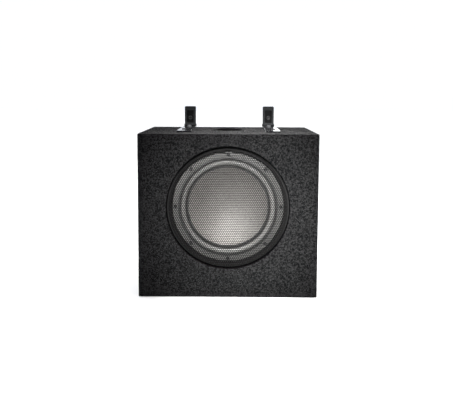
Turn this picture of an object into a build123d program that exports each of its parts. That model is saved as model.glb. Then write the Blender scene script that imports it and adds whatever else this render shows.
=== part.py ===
"""Powered car subwoofer: a carpeted box with a recessed shallow woofer behind a round grille,
a bass-reflex port in the top, two steel fixing brackets and a side-mounted amplifier.

Millimetres. +X is the right-hand side seen from the front, +Y runs from the front to the back, +Z is up.
The origin is the centre of the underside, where the box stands.
"""

import math
import os

from build123d import *

# ---------------------------------------------------------------- cabinet
width = 340
depth = 230
height = 312
carpet = 2.5
board = 15
front_board = 18
edge_round = 2.4

half_width = width / 2
front = -depth / 2
back = depth / 2
wood_x = half_width - carpet
wood_front = front + carpet
wood_back = back - carpet
wood_bottom = carpet
wood_top = height - carpet
seat = wood_front + front_board
inner_x = wood_x - board
baffle_back = seat + board

# ---------------------------------------------------------------- grille and driver
driver_z = 172
grille_hole = 115.8
grille_radius = 112.6
ring_inner = 106.5
flange_radius = 105.5
cutout_radius = 93
screw_circle = 100.5
flange_front = seat - 3.5
roll_radius = 85
roll_outer = 7.1
roll_inner = 5.9
lip = 1.2
cone_edge = 75.5
cone_depth = 16
cone_wall = 1.3
coil_radius = 25
motor_front = seat + 42.5
motor_radius = 60

# ---------------------------------------------------------------- port
port_y = 12
throat_radius = 25
port_wall = 2.5
mouth_radius = 30
port_flange = 33.8
flange_thickness = 1.2
flare_depth = 16
port_bottom = 162
port_hole = 32.3

# ---------------------------------------------------------------- brackets
bracket_x = 87.3
bracket_width = 27.5
bracket_front = -66
steel = 3
leg_width = 24.8
leg_height = 46.6
bolt_z = height + 21
shank_radius = 3.15
thread_radius = 2.95
bolt_clearance = 3.3
wood_screw_x = 91
wood_screw_y = -18
cap_screw_y = 87
cap_head_radius = 4.2
cap_head_height = 2.8
cap_socket_depth = 1.6
cap_shank_radius = 3
cap_shank_length = 26

# ---------------------------------------------------------------- amplifier
amp_y = 12
amp_z = 156
plate_y = 150
plate_z = 230
plate_back = half_width
plate_front = half_width + 3
window_y = 134
window_z = 214
gasket_y = 147
gasket_z = 227
board_back = 148.4
board_front = 150
tray_floor = 115.5
row_power = 70
row_signal = 105
row_knobs = 140
knob_places = {"gain_knob": -36, "lowpass_knob": -4, "bass_knob": 28}
slider_places = {"phase_slider": (60, row_knobs), "input_slider": (64, row_signal)}
rca_places = (-40, -20)
terminal_centre = -26
fuse_centre = 26
level_centre = 8
remote_centre = 40
led_place = (62, row_power)

os.makedirs("parts", exist_ok=True)

driver_plane = Plane(origin=(0, 0, driver_z), x_dir=(1, 0, 0), z_dir=(0, 0, 1))
driver_axis = Axis((0, 0, driver_z), (0, 1, 0))
port_plane = Plane(origin=(0, port_y, 0), x_dir=(1, 0, 0), z_dir=(0, -1, 0))
port_axis = Axis((0, port_y, 0), (0, 0, 1))


def finish(builder, name):
    """Label a finished piece and write it."""
    builder.part.label = name
    export_step(builder.part, f"parts/{name}.step")


def front_plane(y):
    """Facing back: a sketch on it has Z up and X mirrored, and extrudes towards the back."""
    return Plane(origin=(0, y, 0), x_dir=(-1, 0, 0), z_dir=(0, 1, 0))


def side_plane(x):
    """Facing +X, so that a sketch on it is in world Y and Z and extrudes outwards."""
    return Plane(origin=(x, 0, 0), x_dir=(0, 1, 0), z_dir=(1, 0, 0))


def block(low, high):
    """A plain box between two corners, added to the current part."""
    centre = [(a + b) / 2 for a, b in zip(low, high)]
    with Locations(tuple(centre)):
        Box(*[b - a for a, b in zip(low, high)])


def turned(outline, plane, axis):
    """A turned piece: the outline of (radius, height along the axis) points, spun about the axis."""
    with BuildPart() as piece:
        with BuildSketch(plane):
            with BuildLine():
                Polyline(*outline, close=True)
            make_face()
        revolve(axis=axis)
    return piece


def driver_ring(inner, outer, near, far):
    """A ring about the driver's axis between two Y positions."""
    outline = [(inner, near), (outer, near), (outer, far), (inner, far)]
    return turned(outline, driver_plane, driver_axis)


# ================================================================ wooden box
with BuildPart() as front_baffle:
    block((-wood_x, wood_front, wood_bottom), (wood_x, seat, wood_top))
    with BuildSketch(front_plane(wood_front)):
        with Locations((0, driver_z)):
            Circle(grille_hole + carpet)
    extrude(amount=front_board, mode=Mode.SUBTRACT)
finish(front_baffle, "front_baffle")

with BuildPart() as driver_baffle:
    block((-inner_x, seat, wood_bottom + board), (inner_x, baffle_back, wood_top - board))
    with BuildSketch(front_plane(seat)):
        with Locations((0, driver_z)):
            Circle(cutout_radius)
            with PolarLocations(screw_circle, 8):
                Circle(2)
    extrude(amount=board, mode=Mode.SUBTRACT)
finish(driver_baffle, "driver_baffle")

with BuildPart() as left_panel:
    block((-wood_x, seat, wood_bottom), (-inner_x, wood_back, wood_top))
finish(left_panel, "left_panel")

with BuildPart() as right_panel:
    block((inner_x, seat, wood_bottom), (wood_x, wood_back, wood_top))
    with BuildSketch(side_plane(inner_x)):
        with Locations((amp_y, amp_z)):
            Rectangle(window_y, window_z)
    extrude(amount=board, mode=Mode.SUBTRACT)
    amp_screw_y = gasket_y / 2 - 3.3
    amp_screw_z = gasket_z / 2 - 3.3
    amp_screw_heights = (-amp_screw_z, -37, 37, amp_screw_z)
    amp_screws_at = [(y, z) for y in (-amp_screw_y, amp_screw_y) for z in amp_screw_heights]
    amp_screws_at += [(0, -amp_screw_z), (0, amp_screw_z)]
    amp_screws_at = [(amp_y + y, amp_z + z) for y, z in amp_screws_at]
    with BuildSketch(side_plane(inner_x)):
        with Locations(*amp_screws_at):
            Circle(1.75)
    extrude(amount=board, mode=Mode.SUBTRACT)
finish(right_panel, "right_panel")

with BuildPart() as top_panel:
    block((-inner_x, seat, wood_top - board), (inner_x, wood_back, wood_top))
    with BuildSketch(Plane.XY.offset(wood_top - board)):
        with Locations((0, port_y)):
            Circle(port_hole)
        for side in (-1, 1):
            with Locations((side * wood_screw_x, wood_screw_y)):
                Circle(2)
            with Locations((side * bracket_x, cap_screw_y)):
                Circle(3)
    extrude(amount=board, mode=Mode.SUBTRACT)
finish(top_panel, "top_panel")

with BuildPart() as bottom_panel:
    block((-inner_x, seat, wood_bottom), (inner_x, wood_back, wood_bottom + board))
finish(bottom_panel, "bottom_panel")

with BuildPart() as rear_panel:
    block((-inner_x, wood_back - board, wood_bottom + board), (inner_x, wood_back, wood_top - board))
finish(rear_panel, "rear_panel")

# ================================================================ carpet
# One strip over the front, the top and the back, turned into the grille's recess.
with BuildPart() as carpet_wrap:
    block((-wood_x, front, wood_bottom), (wood_x, back, height))
    block_edges = carpet_wrap.edges().filter_by(Axis.X).group_by(Axis.Z)[-1]
    fillet(block_edges, edge_round)
    with Locations((0, 0, (wood_bottom + wood_top) / 2)):
        Box(2 * wood_x, wood_back - wood_front, wood_top - wood_bottom, mode=Mode.SUBTRACT)
    with BuildSketch(front_plane(wood_front)):
        with Locations((0, driver_z)):
            Circle(grille_hole + carpet)
    extrude(amount=8.5)
    with BuildSketch(front_plane(front)):
        with Locations((0, driver_z)):
            Circle(grille_hole)
    extrude(amount=carpet + 8.5, mode=Mode.SUBTRACT)
    rim = carpet_wrap.edges().filter_by(GeomType.CIRCLE).group_by(Axis.Y)[0]
    fillet(rim, edge_round)
    with BuildSketch(Plane.XY.offset(wood_top)):
        with Locations((0, port_y)):
            Circle(port_hole)
        for side in (-1, 1):
            with Locations((side * wood_screw_x, wood_screw_y)):
                Circle(2)
            with Locations((side * bracket_x, cap_screw_y)):
                Circle(3)
    extrude(amount=carpet, mode=Mode.SUBTRACT)
finish(carpet_wrap, "carpet_wrap")

with BuildPart() as carpet_base:
    block((-wood_x, front, 0), (wood_x, back, wood_bottom))
    fillet(carpet_base.edges().filter_by(Axis.X).group_by(Axis.Z)[0], edge_round)
finish(carpet_base, "carpet_base")

for side, name in ((-1, "carpet_left"), (1, "carpet_right")):
    with BuildPart() as carpet_side:
        low, high = sorted((side * wood_x, side * half_width))
        block((low, front, 0), (high, back, height))
        outer_face = carpet_side.faces().sort_by(Axis.X)[-1 if side > 0 else 0]
        fillet(outer_face.edges(), edge_round)
        if side > 0:
            with BuildSketch(side_plane(wood_x)):
                with Locations((amp_y, amp_z)):
                    Rectangle(gasket_y, gasket_z)
            extrude(amount=carpet, mode=Mode.SUBTRACT)
    finish(carpet_side, name)

# ================================================================ grille
skirt_depth = 13.5
grille_front = front + 1
with BuildPart() as grille:
    with BuildSketch(driver_plane):
        with BuildLine():
            Polyline(
                (0, grille_front),
                (grille_radius, grille_front),
                (grille_radius, grille_front + skirt_depth),
                (grille_radius - 1, grille_front + skirt_depth),
                (grille_radius - 1, grille_front + 1),
                (0, grille_front + 1),
                close=True,
            )
        make_face()
    revolve(axis=driver_axis)
    fillet(grille.edges().filter_by(GeomType.CIRCLE).group_by(Axis.Y)[0], 0.9)
finish(grille, "grille")

# The plastic ring lines the recess and holds the grille's skirt in a groove.
ring_front = seat - 9.5
ring_outline = [
    (ring_inner, ring_front),
    (grille_radius - 1.3, ring_front),
    (grille_radius - 1.3, ring_front + 4.5),
    (grille_radius + 0.3, ring_front + 4.5),
    (grille_radius + 0.3, ring_front),
    (grille_hole + carpet - 0.2, ring_front),
    (grille_hole + carpet - 0.2, seat),
    (ring_inner, seat),
]
grille_ring = turned(ring_outline, driver_plane, driver_axis)
finish(grille_ring, "grille_ring")

# ================================================================ driver
ledge_front = seat + 28.5
ledge_back = ledge_front + 2
pan_front = motor_front - 2
with BuildPart() as basket:
    with BuildSketch(driver_plane):
        with BuildLine():
            Polyline(
                (92.2, flange_front),
                (flange_radius, flange_front),
                (flange_radius, seat),
                (cutout_radius - 0.6, seat),
                (73.5, ledge_back),
                (62, ledge_back),
                (62, motor_front),
                (34, motor_front),
                (34, pan_front),
                (60, pan_front),
                (60, ledge_front),
                (72.4, ledge_front),
                close=True,
            )
        make_face()
    revolve(axis=driver_axis)
    # Six vent windows through the conical wall.
    for turn in range(6):
        angle = 60 * turn - 19
        spoke_plane = Plane(
            origin=(0, 0, driver_z),
            x_dir=(math.cos(math.radians(angle)), 0, math.sin(math.radians(angle))),
            z_dir=(-math.sin(math.radians(angle)), 0, math.cos(math.radians(angle))),
        )
        with BuildSketch(spoke_plane):
            with BuildLine():
                Polyline((70, -90), (100, -90), (100, -69), (70, -69), close=True)
            make_face()
        revolve(axis=Axis((0, 0, driver_z), (0, -1, 0)), revolution_arc=38, mode=Mode.SUBTRACT)
    with BuildSketch(front_plane(flange_front)):
        with Locations((0, driver_z)):
            with PolarLocations(screw_circle, 8):
                Circle(2.3)
    extrude(amount=3.5, mode=Mode.SUBTRACT)
finish(basket, "basket")

with BuildPart() as surround:
    roll_y = flange_front - lip / 2
    with BuildSketch(driver_plane):
        with Locations((roll_radius, roll_y)):
            Circle(roll_outer)
            Circle(roll_inner, mode=Mode.SUBTRACT)
        with Locations((roll_radius, roll_y + 10)):
            Rectangle(30, 20, mode=Mode.SUBTRACT)
        with Locations((93.2, flange_front - lip / 2), (77.55, flange_front - lip / 2)):
            Rectangle(4.6, lip)
    revolve(axis=driver_axis)
finish(surround, "surround")

dish_back = flange_front + cone_depth
dish_radius = (cone_edge**2 + cone_depth**2) / (2 * cone_depth)
dish_centre = dish_back - dish_radius
rear_radius = dish_radius + cone_wall


def dish_y(radius, sphere):
    """The Y of a point of the concave dish at a radius from the axis."""
    return dish_centre + math.sqrt(sphere**2 - radius**2)


with BuildPart() as cone:
    rim_back = dish_y(cone_edge, rear_radius)
    with BuildSketch(driver_plane):
        with BuildLine():
            ThreePointArc(
                (0, dish_back),
                (cone_edge / 2, dish_y(cone_edge / 2, dish_radius)),
                (cone_edge, flange_front),
            )
            Polyline((cone_edge, flange_front), (78.3, flange_front), (78.3, rim_back), (cone_edge, rim_back))
            ThreePointArc(
                (cone_edge, rim_back),
                (cone_edge / 2, dish_y(cone_edge / 2, rear_radius)),
                (0, dish_back + cone_wall),
            )
            Line((0, dish_back + cone_wall), (0, dish_back))
        make_face()
    revolve(axis=driver_axis)
finish(cone, "cone")

former_outer = coil_radius + 0.4
coupler_outline = [
    (former_outer, -74),
    (42.5, dish_y(42.5, rear_radius) + 0.08),
    (46, dish_y(46, rear_radius) + 0.08),
    (46, dish_y(46, rear_radius) + 1.6),
    (43.2, dish_y(43.2, rear_radius) + 2),
    (former_outer, -71.5),
]
cone_coupler = turned(coupler_outline, driver_plane, driver_axis)
finish(cone_coupler, "cone_coupler")

former_front = dish_y(former_outer, rear_radius) + 0.08
coil_former = driver_ring(coil_radius, former_outer, former_front, motor_front + 12)
finish(coil_former, "coil_former")

voice_coil = driver_ring(former_outer, former_outer + 0.8, motor_front - 5, motor_front + 11)
finish(voice_coil, "voice_coil")

# The spider is a disc of rolled corrugations between the former and the basket's ledge.
waves = 6
spider_inner = former_outer + 0.1
spider_flat = 59.5
spider_outer = 70
pitch = (spider_flat - spider_inner) / waves
cloth = 0.7
with BuildPart() as spider:
    with BuildSketch(driver_plane):
        with BuildLine():
            for level in (ledge_front, ledge_front - cloth):
                for wave in range(waves):
                    start = spider_inner + wave * pitch
                    lift = 1.7 if wave % 2 else -1.7
                    ThreePointArc((start, level), (start + pitch / 2, level + lift), (start + pitch, level))
                Line((spider_flat, level), (spider_outer, level))
            Line((spider_inner, ledge_front), (spider_inner, ledge_front - cloth))
            Line((spider_outer, ledge_front), (spider_outer, ledge_front - cloth))
        make_face()
    revolve(axis=driver_axis)
finish(spider, "spider")

plate_rear = motor_front + 6
magnet_rear = plate_rear + 16
yoke_rear = magnet_rear + 6
top_plate = driver_ring(27, motor_radius, motor_front, plate_rear)
finish(top_plate, "top_plate")

magnet = driver_ring(32, motor_radius + 2, plate_rear, magnet_rear)
finish(magnet, "magnet")

yoke_outline = [
    (7, motor_front - 1),
    (24, motor_front - 1),
    (24, magnet_rear),
    (motor_radius, magnet_rear),
    (motor_radius, yoke_rear),
    (7, yoke_rear),
]
yoke = turned(yoke_outline, driver_plane, driver_axis)
finish(yoke, "yoke")

tab_gap = 6
tab_end = ledge_back + 10
with BuildPart() as driver_terminals:
    block((63, ledge_back, driver_z - 12), (77, ledge_back + 1.6, driver_z + 12))
    for side in (-1, 1):
        tab_z = driver_z + side * tab_gap
        block((67.6, ledge_back + 1.6, tab_z - 3), (68.4, tab_end, tab_z + 3))
finish(driver_terminals, "driver_terminals")

with BuildPart() as driver_screws:
    with BuildSketch(front_plane(flange_front)):
        with Locations((0, driver_z)):
            with PolarLocations(screw_circle, 8):
                Circle(2)
    extrude(amount=14)
    with BuildSketch(front_plane(flange_front - 2.4)):
        with Locations((0, driver_z)):
            with PolarLocations(screw_circle, 8):
                Circle(3.7)
    extrude(amount=2.4)
    with BuildSketch(front_plane(flange_front - 2.4)):
        with Locations((0, driver_z)):
            with PolarLocations(screw_circle, 8):
                RegularPolygon(1.7, 6)
    extrude(amount=1.6, mode=Mode.SUBTRACT)
finish(driver_screws, "driver_screws")


def lead(points, radius):
    """A round lead along straight runs joined by arcs as large as the runs allow."""
    vectors = [Vector(*point) for point in points]
    radii = []
    for before, here, after in zip(vectors, vectors[1:], vectors[2:]):
        turn = math.radians((here - before).get_angle(after - here))
        shorter = min((here - before).length, (after - here).length)
        radii.append(0.45 * shorter / math.tan(turn / 2))
    print("lead radii", [round(value, 1) for value in radii])
    with BuildPart() as piece:
        with BuildLine() as path:
            FilletPolyline(*vectors, radius=radii)
        with BuildSketch(Plane(origin=path.line @ 0, z_dir=path.line % 0)):
            Circle(radius)
        sweep()
    length = sum(edge.length for edge in path.edges())
    ratio = piece.part.volume / (math.pi * radius**2 * length)
    print("lead length", round(length, 1), "volume ratio", round(ratio, 4))
    return piece


with BuildPart() as tinsel_leads:
    for side in (-1, 1):
        strand = lead(
            [
                (75.8, ledge_back - 0.6, driver_z + side * 7),
                (80.5, -71, driver_z + side * 7.2),
                (69, -79.5, driver_z + side * 7.6),
                (53, -76.5, driver_z + side * 7.9),
                (39.5, -79.5, driver_z + side * 8),
            ],
            0.6,
        )
        add(strand.part)
finish(tinsel_leads, "tinsel_leads")

for side, name in ((1, "speaker_lead_red"), (-1, "speaker_lead_black")):
    tab_z = driver_z + side * tab_gap
    speaker_lead = lead(
        [
            (68, tab_end, tab_z),
            (68, -40, tab_z),
            (79, -24, tab_z + side * 0.6),
            (98, -14, tab_z + side * 1.4),
            (120, -11, tab_z + side * 2),
            (board_back, -11, tab_z + side * 2),
        ],
        1.8,
    )
    finish(speaker_lead, name)

# ================================================================ port
with BuildPart() as port_tube:
    collar_bottom = wood_top - board
    with BuildSketch(port_plane):
        with BuildLine():
            Line((throat_radius, port_bottom), (throat_radius, height - flare_depth))
            TangentArc(
                (throat_radius, height - flare_depth),
                (mouth_radius, height + flange_thickness),
                tangent=(0, 1),
            )
            Polyline(
                (mouth_radius, height + flange_thickness),
                (port_flange, height + flange_thickness),
                (port_flange, height),
                (port_hole - 0.1, height),
                (port_hole - 0.1, collar_bottom),
                (throat_radius + port_wall, collar_bottom),
                (throat_radius + port_wall, port_bottom),
                (throat_radius, port_bottom),
            )
        make_face()
    revolve(axis=port_axis)
finish(port_tube, "port_tube")

# ================================================================ brackets
for side, suffix in ((-1, "left"), (1, "right")):
    middle = side * bracket_x
    with BuildPart() as bracket:
        with BuildSketch(side_plane(middle - bracket_width / 2)):
            with BuildLine():
                Polyline(
                    (bracket_front, height),
                    (back, height),
                    (back, height + leg_height),
                    (back - steel, height + leg_height),
                    (back - steel, height + steel),
                    (bracket_front, height + steel),
                    close=True,
                )
            make_face()
        extrude(amount=bracket_width)
        outer_bend = bracket.edges().filter_by(Axis.X).group_by(Axis.Z)[0].sort_by(Axis.Y)[-1]
        fillet(outer_bend, 3.5)
        spare = (bracket_width - leg_width) / 2
        leg_low = height + 7
        for edge in (-1, 1):
            with Locations((middle + edge * (bracket_width - spare) / 2, back - steel / 2, leg_low + 30)):
                Box(spare, steel + 2, 60, mode=Mode.SUBTRACT)
        fillet(bracket.edges().filter_by(Axis.Y).group_by(Axis.Z)[-1], 2.5)
        fillet(bracket.edges().filter_by(Axis.Z).group_by(Axis.Y)[0], 4)
        with BuildSketch(front_plane(back - steel)):
            with Locations((-middle, bolt_z)):
                Circle(bolt_clearance)
        extrude(amount=steel, mode=Mode.SUBTRACT)
        with BuildSketch(Plane.XY.offset(height)):
            with Locations((side * wood_screw_x, wood_screw_y)):
                Circle(2.3)
            with Locations((middle, cap_screw_y)):
                Circle(3.3)
        extrude(amount=steel, mode=Mode.SUBTRACT)
    finish(bracket, f"bracket_{suffix}")

    # A moulded pad on the front of the leg, with the fixing bolt's head in its pocket.
    pad_front = back - steel - 6
    with BuildPart() as clamp_pad:
        block(
            (middle - 12.2, pad_front, height + 4.2),
            (middle + 12.2, back - steel, height + leg_height - 0.4),
        )
        fillet(clamp_pad.edges().filter_by(Axis.Y).group_by(Axis.Z)[-1], 2.4)
        with BuildSketch(front_plane(pad_front)):
            with Locations((-middle, height + 23.4)):
                RectangleRounded(15.4, 28, 1.2)
        extrude(amount=3.5, mode=Mode.SUBTRACT)
        with BuildSketch(front_plane(pad_front)):
            with Locations((-middle, bolt_z)):
                Circle(bolt_clearance)
        extrude(amount=6, mode=Mode.SUBTRACT)
    finish(clamp_pad, f"clamp_pad_{suffix}")

# Each pocket bolt has a plain shank through the pad and the leg, a relief, and an M6 thread behind.
bolt_seat = back - steel - 2.5
relief = 1.5
thread_length = 14
with BuildPart() as bracket_bolts:
    for side in (-1, 1):
        reach = 0
        for stage_radius, stage_length in (
            (shank_radius, back - bolt_seat),
            (2.4, relief),
            (thread_radius, thread_length),
        ):
            with BuildSketch(front_plane(bolt_seat + reach)):
                with Locations((side * bracket_x, bolt_z)):
                    Circle(stage_radius)
            extrude(amount=stage_length)
            reach += stage_length
        with BuildSketch(front_plane(bolt_seat - 3.6)):
            with Locations((side * bracket_x, bolt_z)):
                Circle(4.4)
        extrude(amount=3.6)
        with BuildSketch(front_plane(bolt_seat - 3.6)):
            with Locations((side * bracket_x, bolt_z)):
                RegularPolygon(2.2, 6)
        extrude(amount=2.2, mode=Mode.SUBTRACT)
finish(bracket_bolts, "bracket_bolts")

with BuildPart() as wood_screws:
    for side in (-1, 1):
        with Locations((side * wood_screw_x, wood_screw_y, height + steel + 0.9)):
            Cylinder(4, 1.8)
        with Locations((side * wood_screw_x, wood_screw_y, height + steel - 9)):
            Cylinder(2, 18)
finish(wood_screws, "bracket_wood_screws")

with BuildPart() as cap_screws:
    for side in (-1, 1):
        with BuildSketch(Plane.XY.offset(height + steel)):
            with Locations((side * bracket_x, cap_screw_y)):
                Circle(cap_head_radius)
        extrude(amount=cap_head_height)
        with BuildSketch(Plane.XY.offset(height + steel)):
            with Locations((side * bracket_x, cap_screw_y)):
                Circle(cap_shank_radius)
        extrude(amount=-cap_shank_length)
        with BuildSketch(Plane.XY.offset(height + steel + cap_head_height)):
            with Locations((side * bracket_x, cap_screw_y)):
                RegularPolygon(2.3, 6)
        extrude(amount=-cap_socket_depth, mode=Mode.SUBTRACT)
finish(cap_screws, "bracket_cap_screws")

# ================================================================ amplifier
fin_low = 166
fin_high = 260
fin_pitch = 12
fin_count = 11
with BuildPart() as amp_plate:
    with BuildSketch(side_plane(plate_back)):
        with Locations((amp_y, amp_z)):
            RectangleRounded(plate_y, plate_z, 6)
    extrude(amount=plate_front - plate_back)
    with BuildSketch(side_plane(plate_front)):
        with Locations((amp_y, (fin_low + fin_high) / 2)):
            with GridLocations(fin_pitch, 1, fin_count, 1):
                Rectangle(2.6, fin_high - fin_low)
    extrude(amount=5.8)
    with BuildSketch(side_plane(plate_back)):
        with Locations(*amp_screws_at):
            Circle(2.2)
        with Locations(*[(y, row_knobs) for y in knob_places.values()]):
            Circle(4.1)
        with Locations(*[(y, row_signal) for y in rca_places]):
            Circle(6.3)
        with Locations(*slider_places.values()):
            Rectangle(3.6, 8.6)
        with Locations(led_place):
            Circle(2.6)
        with Locations((terminal_centre, row_power)):
            Rectangle(48.6, 18.6)
        with Locations((fuse_centre, row_power)):
            Rectangle(32.6, 18.6)
        with Locations((level_centre, row_signal)):
            Rectangle(24.6, 12.6)
        with Locations((remote_centre, row_signal)):
            Rectangle(14.6, 13.6)
    extrude(amount=plate_front - plate_back, mode=Mode.SUBTRACT)
finish(amp_plate, "amp_plate")

with BuildPart() as amp_gasket:
    with BuildSketch(side_plane(wood_x)):
        with Locations((amp_y, amp_z)):
            Rectangle(gasket_y, gasket_z)
            Rectangle(window_y, window_z, mode=Mode.SUBTRACT)
        with Locations(*amp_screws_at):
            Circle(2.2, mode=Mode.SUBTRACT)
    extrude(amount=carpet)
finish(amp_gasket, "amp_gasket")

with BuildPart() as amp_screws:
    with BuildSketch(side_plane(plate_front)):
        with Locations(*amp_screws_at):
            Circle(1.75)
    extrude(amount=-16)
    with BuildSketch(side_plane(plate_front)):
        with Locations(*amp_screws_at):
            Circle(3.3)
    extrude(amount=2.2)
    with BuildSketch(side_plane(plate_front + 2.2)):
        with Locations(*amp_screws_at):
            RegularPolygon(1.5, 6)
    extrude(amount=-1.5, mode=Mode.SUBTRACT)
finish(amp_screws, "amp_screws")

tray_wall = 1.5
with BuildPart() as amp_housing:
    with BuildSketch(side_plane(tray_floor)):
        with Locations((amp_y, amp_z)):
            RectangleRounded(window_y - 2, window_z - 2, 4)
    extrude(amount=plate_back - tray_floor)
    with BuildSketch(side_plane(tray_floor + tray_wall)):
        with Locations((amp_y, amp_z)):
            RectangleRounded(window_y - 2 - 2 * tray_wall, window_z - 2 - 2 * tray_wall, 3)
    extrude(amount=plate_back - tray_floor, mode=Mode.SUBTRACT)
    with BuildSketch(side_plane(tray_floor)):
        with Locations((-11.2, driver_z + 7.9), (-11.2, driver_z - 7.9)):
            Circle(2.8)
    extrude(amount=tray_wall, mode=Mode.SUBTRACT)
finish(amp_housing, "amp_housing")

with BuildPart() as circuit_board:
    block((board_back, amp_y - 60, amp_z - 103), (board_front, amp_y + 60, amp_z + 103))
finish(circuit_board, "circuit_board")

with BuildPart() as board_standoffs:
    with BuildSketch(side_plane(board_front)):
        with Locations((amp_y, amp_z)):
            with GridLocations(104, 98, 2, 3):
                RegularPolygon(2.9, 6)
    extrude(amount=plate_back - board_front)
finish(board_standoffs, "board_standoffs")

with BuildPart() as transformer:
    with BuildSketch(side_plane(board_back)):
        with Locations((-14, 212)):
            Circle(19)
            Circle(8, mode=Mode.SUBTRACT)
    extrude(amount=-18)
    fillet(transformer.edges().filter_by(GeomType.CIRCLE), 4)
finish(transformer, "transformer")

with BuildPart() as filter_capacitors:
    with BuildSketch(side_plane(board_back)):
        with Locations((45, 200), (45, 220), (26, 200), (26, 220)):
            Circle(8)
    extrude(amount=-26)
    fillet(filter_capacitors.faces().group_by(Axis.X)[0].edges(), 1.2)
finish(filter_capacitors, "filter_capacitors")

with BuildPart() as power_transistors:
    for index in range(6):
        middle_y = -34 + 18 * index
        block((plate_back - 4.5, middle_y - 5, 214), (plate_back, middle_y + 5, 230))
        for leg in (-2.5, 0, 2.5):
            low = (board_front, middle_y + leg - 0.4, 211)
            block(low, (plate_back - 1.8, middle_y + leg + 0.4, 211.7))
            block(
                (plate_back - 2.5, middle_y + leg - 0.4, 211),
                (plate_back - 1.8, middle_y + leg + 0.4, 214),
            )
finish(power_transistors, "power_transistors")

with BuildPart() as terminal_block:
    block(
        (board_front, terminal_centre - 24, row_power - 9),
        (plate_front + 6, terminal_centre + 24, row_power + 9),
    )
    with BuildSketch(side_plane(plate_front + 6)):
        with Locations((terminal_centre, row_power + 1.5)):
            with GridLocations(15.3, 1, 3, 1):
                Rectangle(13, 15.5)
    extrude(amount=-7, mode=Mode.SUBTRACT)
finish(terminal_block, "terminal_block")

with BuildPart() as terminal_screws:
    with BuildSketch(side_plane(plate_front - 1)):
        with Locations((terminal_centre, row_power)):
            with GridLocations(15.3, 1, 3, 1):
                Rectangle(9, 9)
    extrude(amount=0.8)
    with BuildSketch(side_plane(plate_front - 0.2)):
        with Locations((terminal_centre, row_power)):
            with GridLocations(15.3, 1, 3, 1):
                Circle(3.8)
    extrude(amount=2.6)
    with BuildSketch(side_plane(plate_front + 2.4)):
        with Locations((terminal_centre, row_power)):
            with GridLocations(15.3, 1, 3, 1):
                Rectangle(5.6, 1)
                Rectangle(1, 5.6)
    extrude(amount=-1.4, mode=Mode.SUBTRACT)
finish(terminal_screws, "terminal_screws")

fuses_at = (fuse_centre - 7.5, fuse_centre + 7.5)
with BuildPart() as fuse_holder:
    block((board_front, fuse_centre - 16, row_power - 9), (plate_front + 3, fuse_centre + 16, row_power + 9))
    with BuildSketch(side_plane(plate_front + 3)):
        with Locations(*[(y, row_power) for y in fuses_at]):
            Rectangle(5.4, 15.4)
    extrude(amount=-11, mode=Mode.SUBTRACT)
finish(fuse_holder, "fuse_holder")

with BuildPart() as blade_fuses:
    for fuse_y in fuses_at:
        block(
            (plate_front - 8, fuse_y - 2.5, row_power - 7.5),
            (plate_front + 6.6, fuse_y + 2.5, row_power + 7.5),
        )
    fillet(blade_fuses.edges().filter_by(Axis.X), 0.8)
finish(blade_fuses, "blade_fuses")

with BuildPart() as rca_jacks:
    for jack_y in rca_places:
        with BuildSketch(side_plane(board_front)):
            with Locations((jack_y, row_signal)):
                Circle(6)
        extrude(amount=plate_front + 1 - board_front)
        with BuildSketch(side_plane(plate_front + 1)):
            with Locations((jack_y, row_signal)):
                Circle(4.2)
        extrude(amount=6)
        with BuildSketch(side_plane(plate_front + 7)):
            with Locations((jack_y, row_signal)):
                Circle(3.1)
                Circle(2, mode=Mode.SUBTRACT)
        extrude(amount=-9, mode=Mode.SUBTRACT)
        with BuildSketch(side_plane(plate_front + 7)):
            with Locations((jack_y, row_signal)):
                Circle(1.5)
        extrude(amount=-9, mode=Mode.SUBTRACT)
finish(rca_jacks, "rca_jacks")

socket_front = plate_front + 3
with BuildPart() as level_socket:
    block((board_front, level_centre - 12, row_signal - 6), (socket_front, level_centre + 12, row_signal + 6))
    with BuildSketch(side_plane(socket_front)):
        with Locations((level_centre, row_signal)):
            Rectangle(21, 9)
    extrude(amount=-14, mode=Mode.SUBTRACT)
    with BuildSketch(side_plane(socket_front - 14)):
        with Locations((level_centre, row_signal)):
            with GridLocations(5, 1, 4, 1):
                Rectangle(1, 1)
    extrude(amount=7)
finish(level_socket, "level_socket")

with BuildPart() as remote_socket:
    block(
        (board_front, remote_centre - 7, row_signal - 6.5),
        (socket_front, remote_centre + 7, row_signal + 6.5),
    )
    with BuildSketch(side_plane(socket_front)):
        with Locations((remote_centre, row_signal + 0.5)):
            Rectangle(10, 7.4)
        with Locations((remote_centre, row_signal - 4)):
            Rectangle(5, 2.2)
    extrude(amount=-13, mode=Mode.SUBTRACT)
finish(remote_socket, "remote_socket")

shaft_radius = 3
with BuildPart() as pot_bodies:
    for knob_y in knob_places.values():
        block((board_front, knob_y - 6, row_knobs - 6), (board_front + 11, knob_y + 6, row_knobs + 6))
        with BuildSketch(side_plane(board_front + 11)):
            with Locations((knob_y, row_knobs)):
                Circle(3.9)
        extrude(amount=plate_front - board_front - 11.4)
        with BuildSketch(side_plane(board_front + 0.6)):
            with Locations((knob_y, row_knobs)):
                Circle(shaft_radius + 0.06)
        extrude(amount=plate_front - board_front, mode=Mode.SUBTRACT)
finish(pot_bodies, "pot_bodies")

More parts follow.
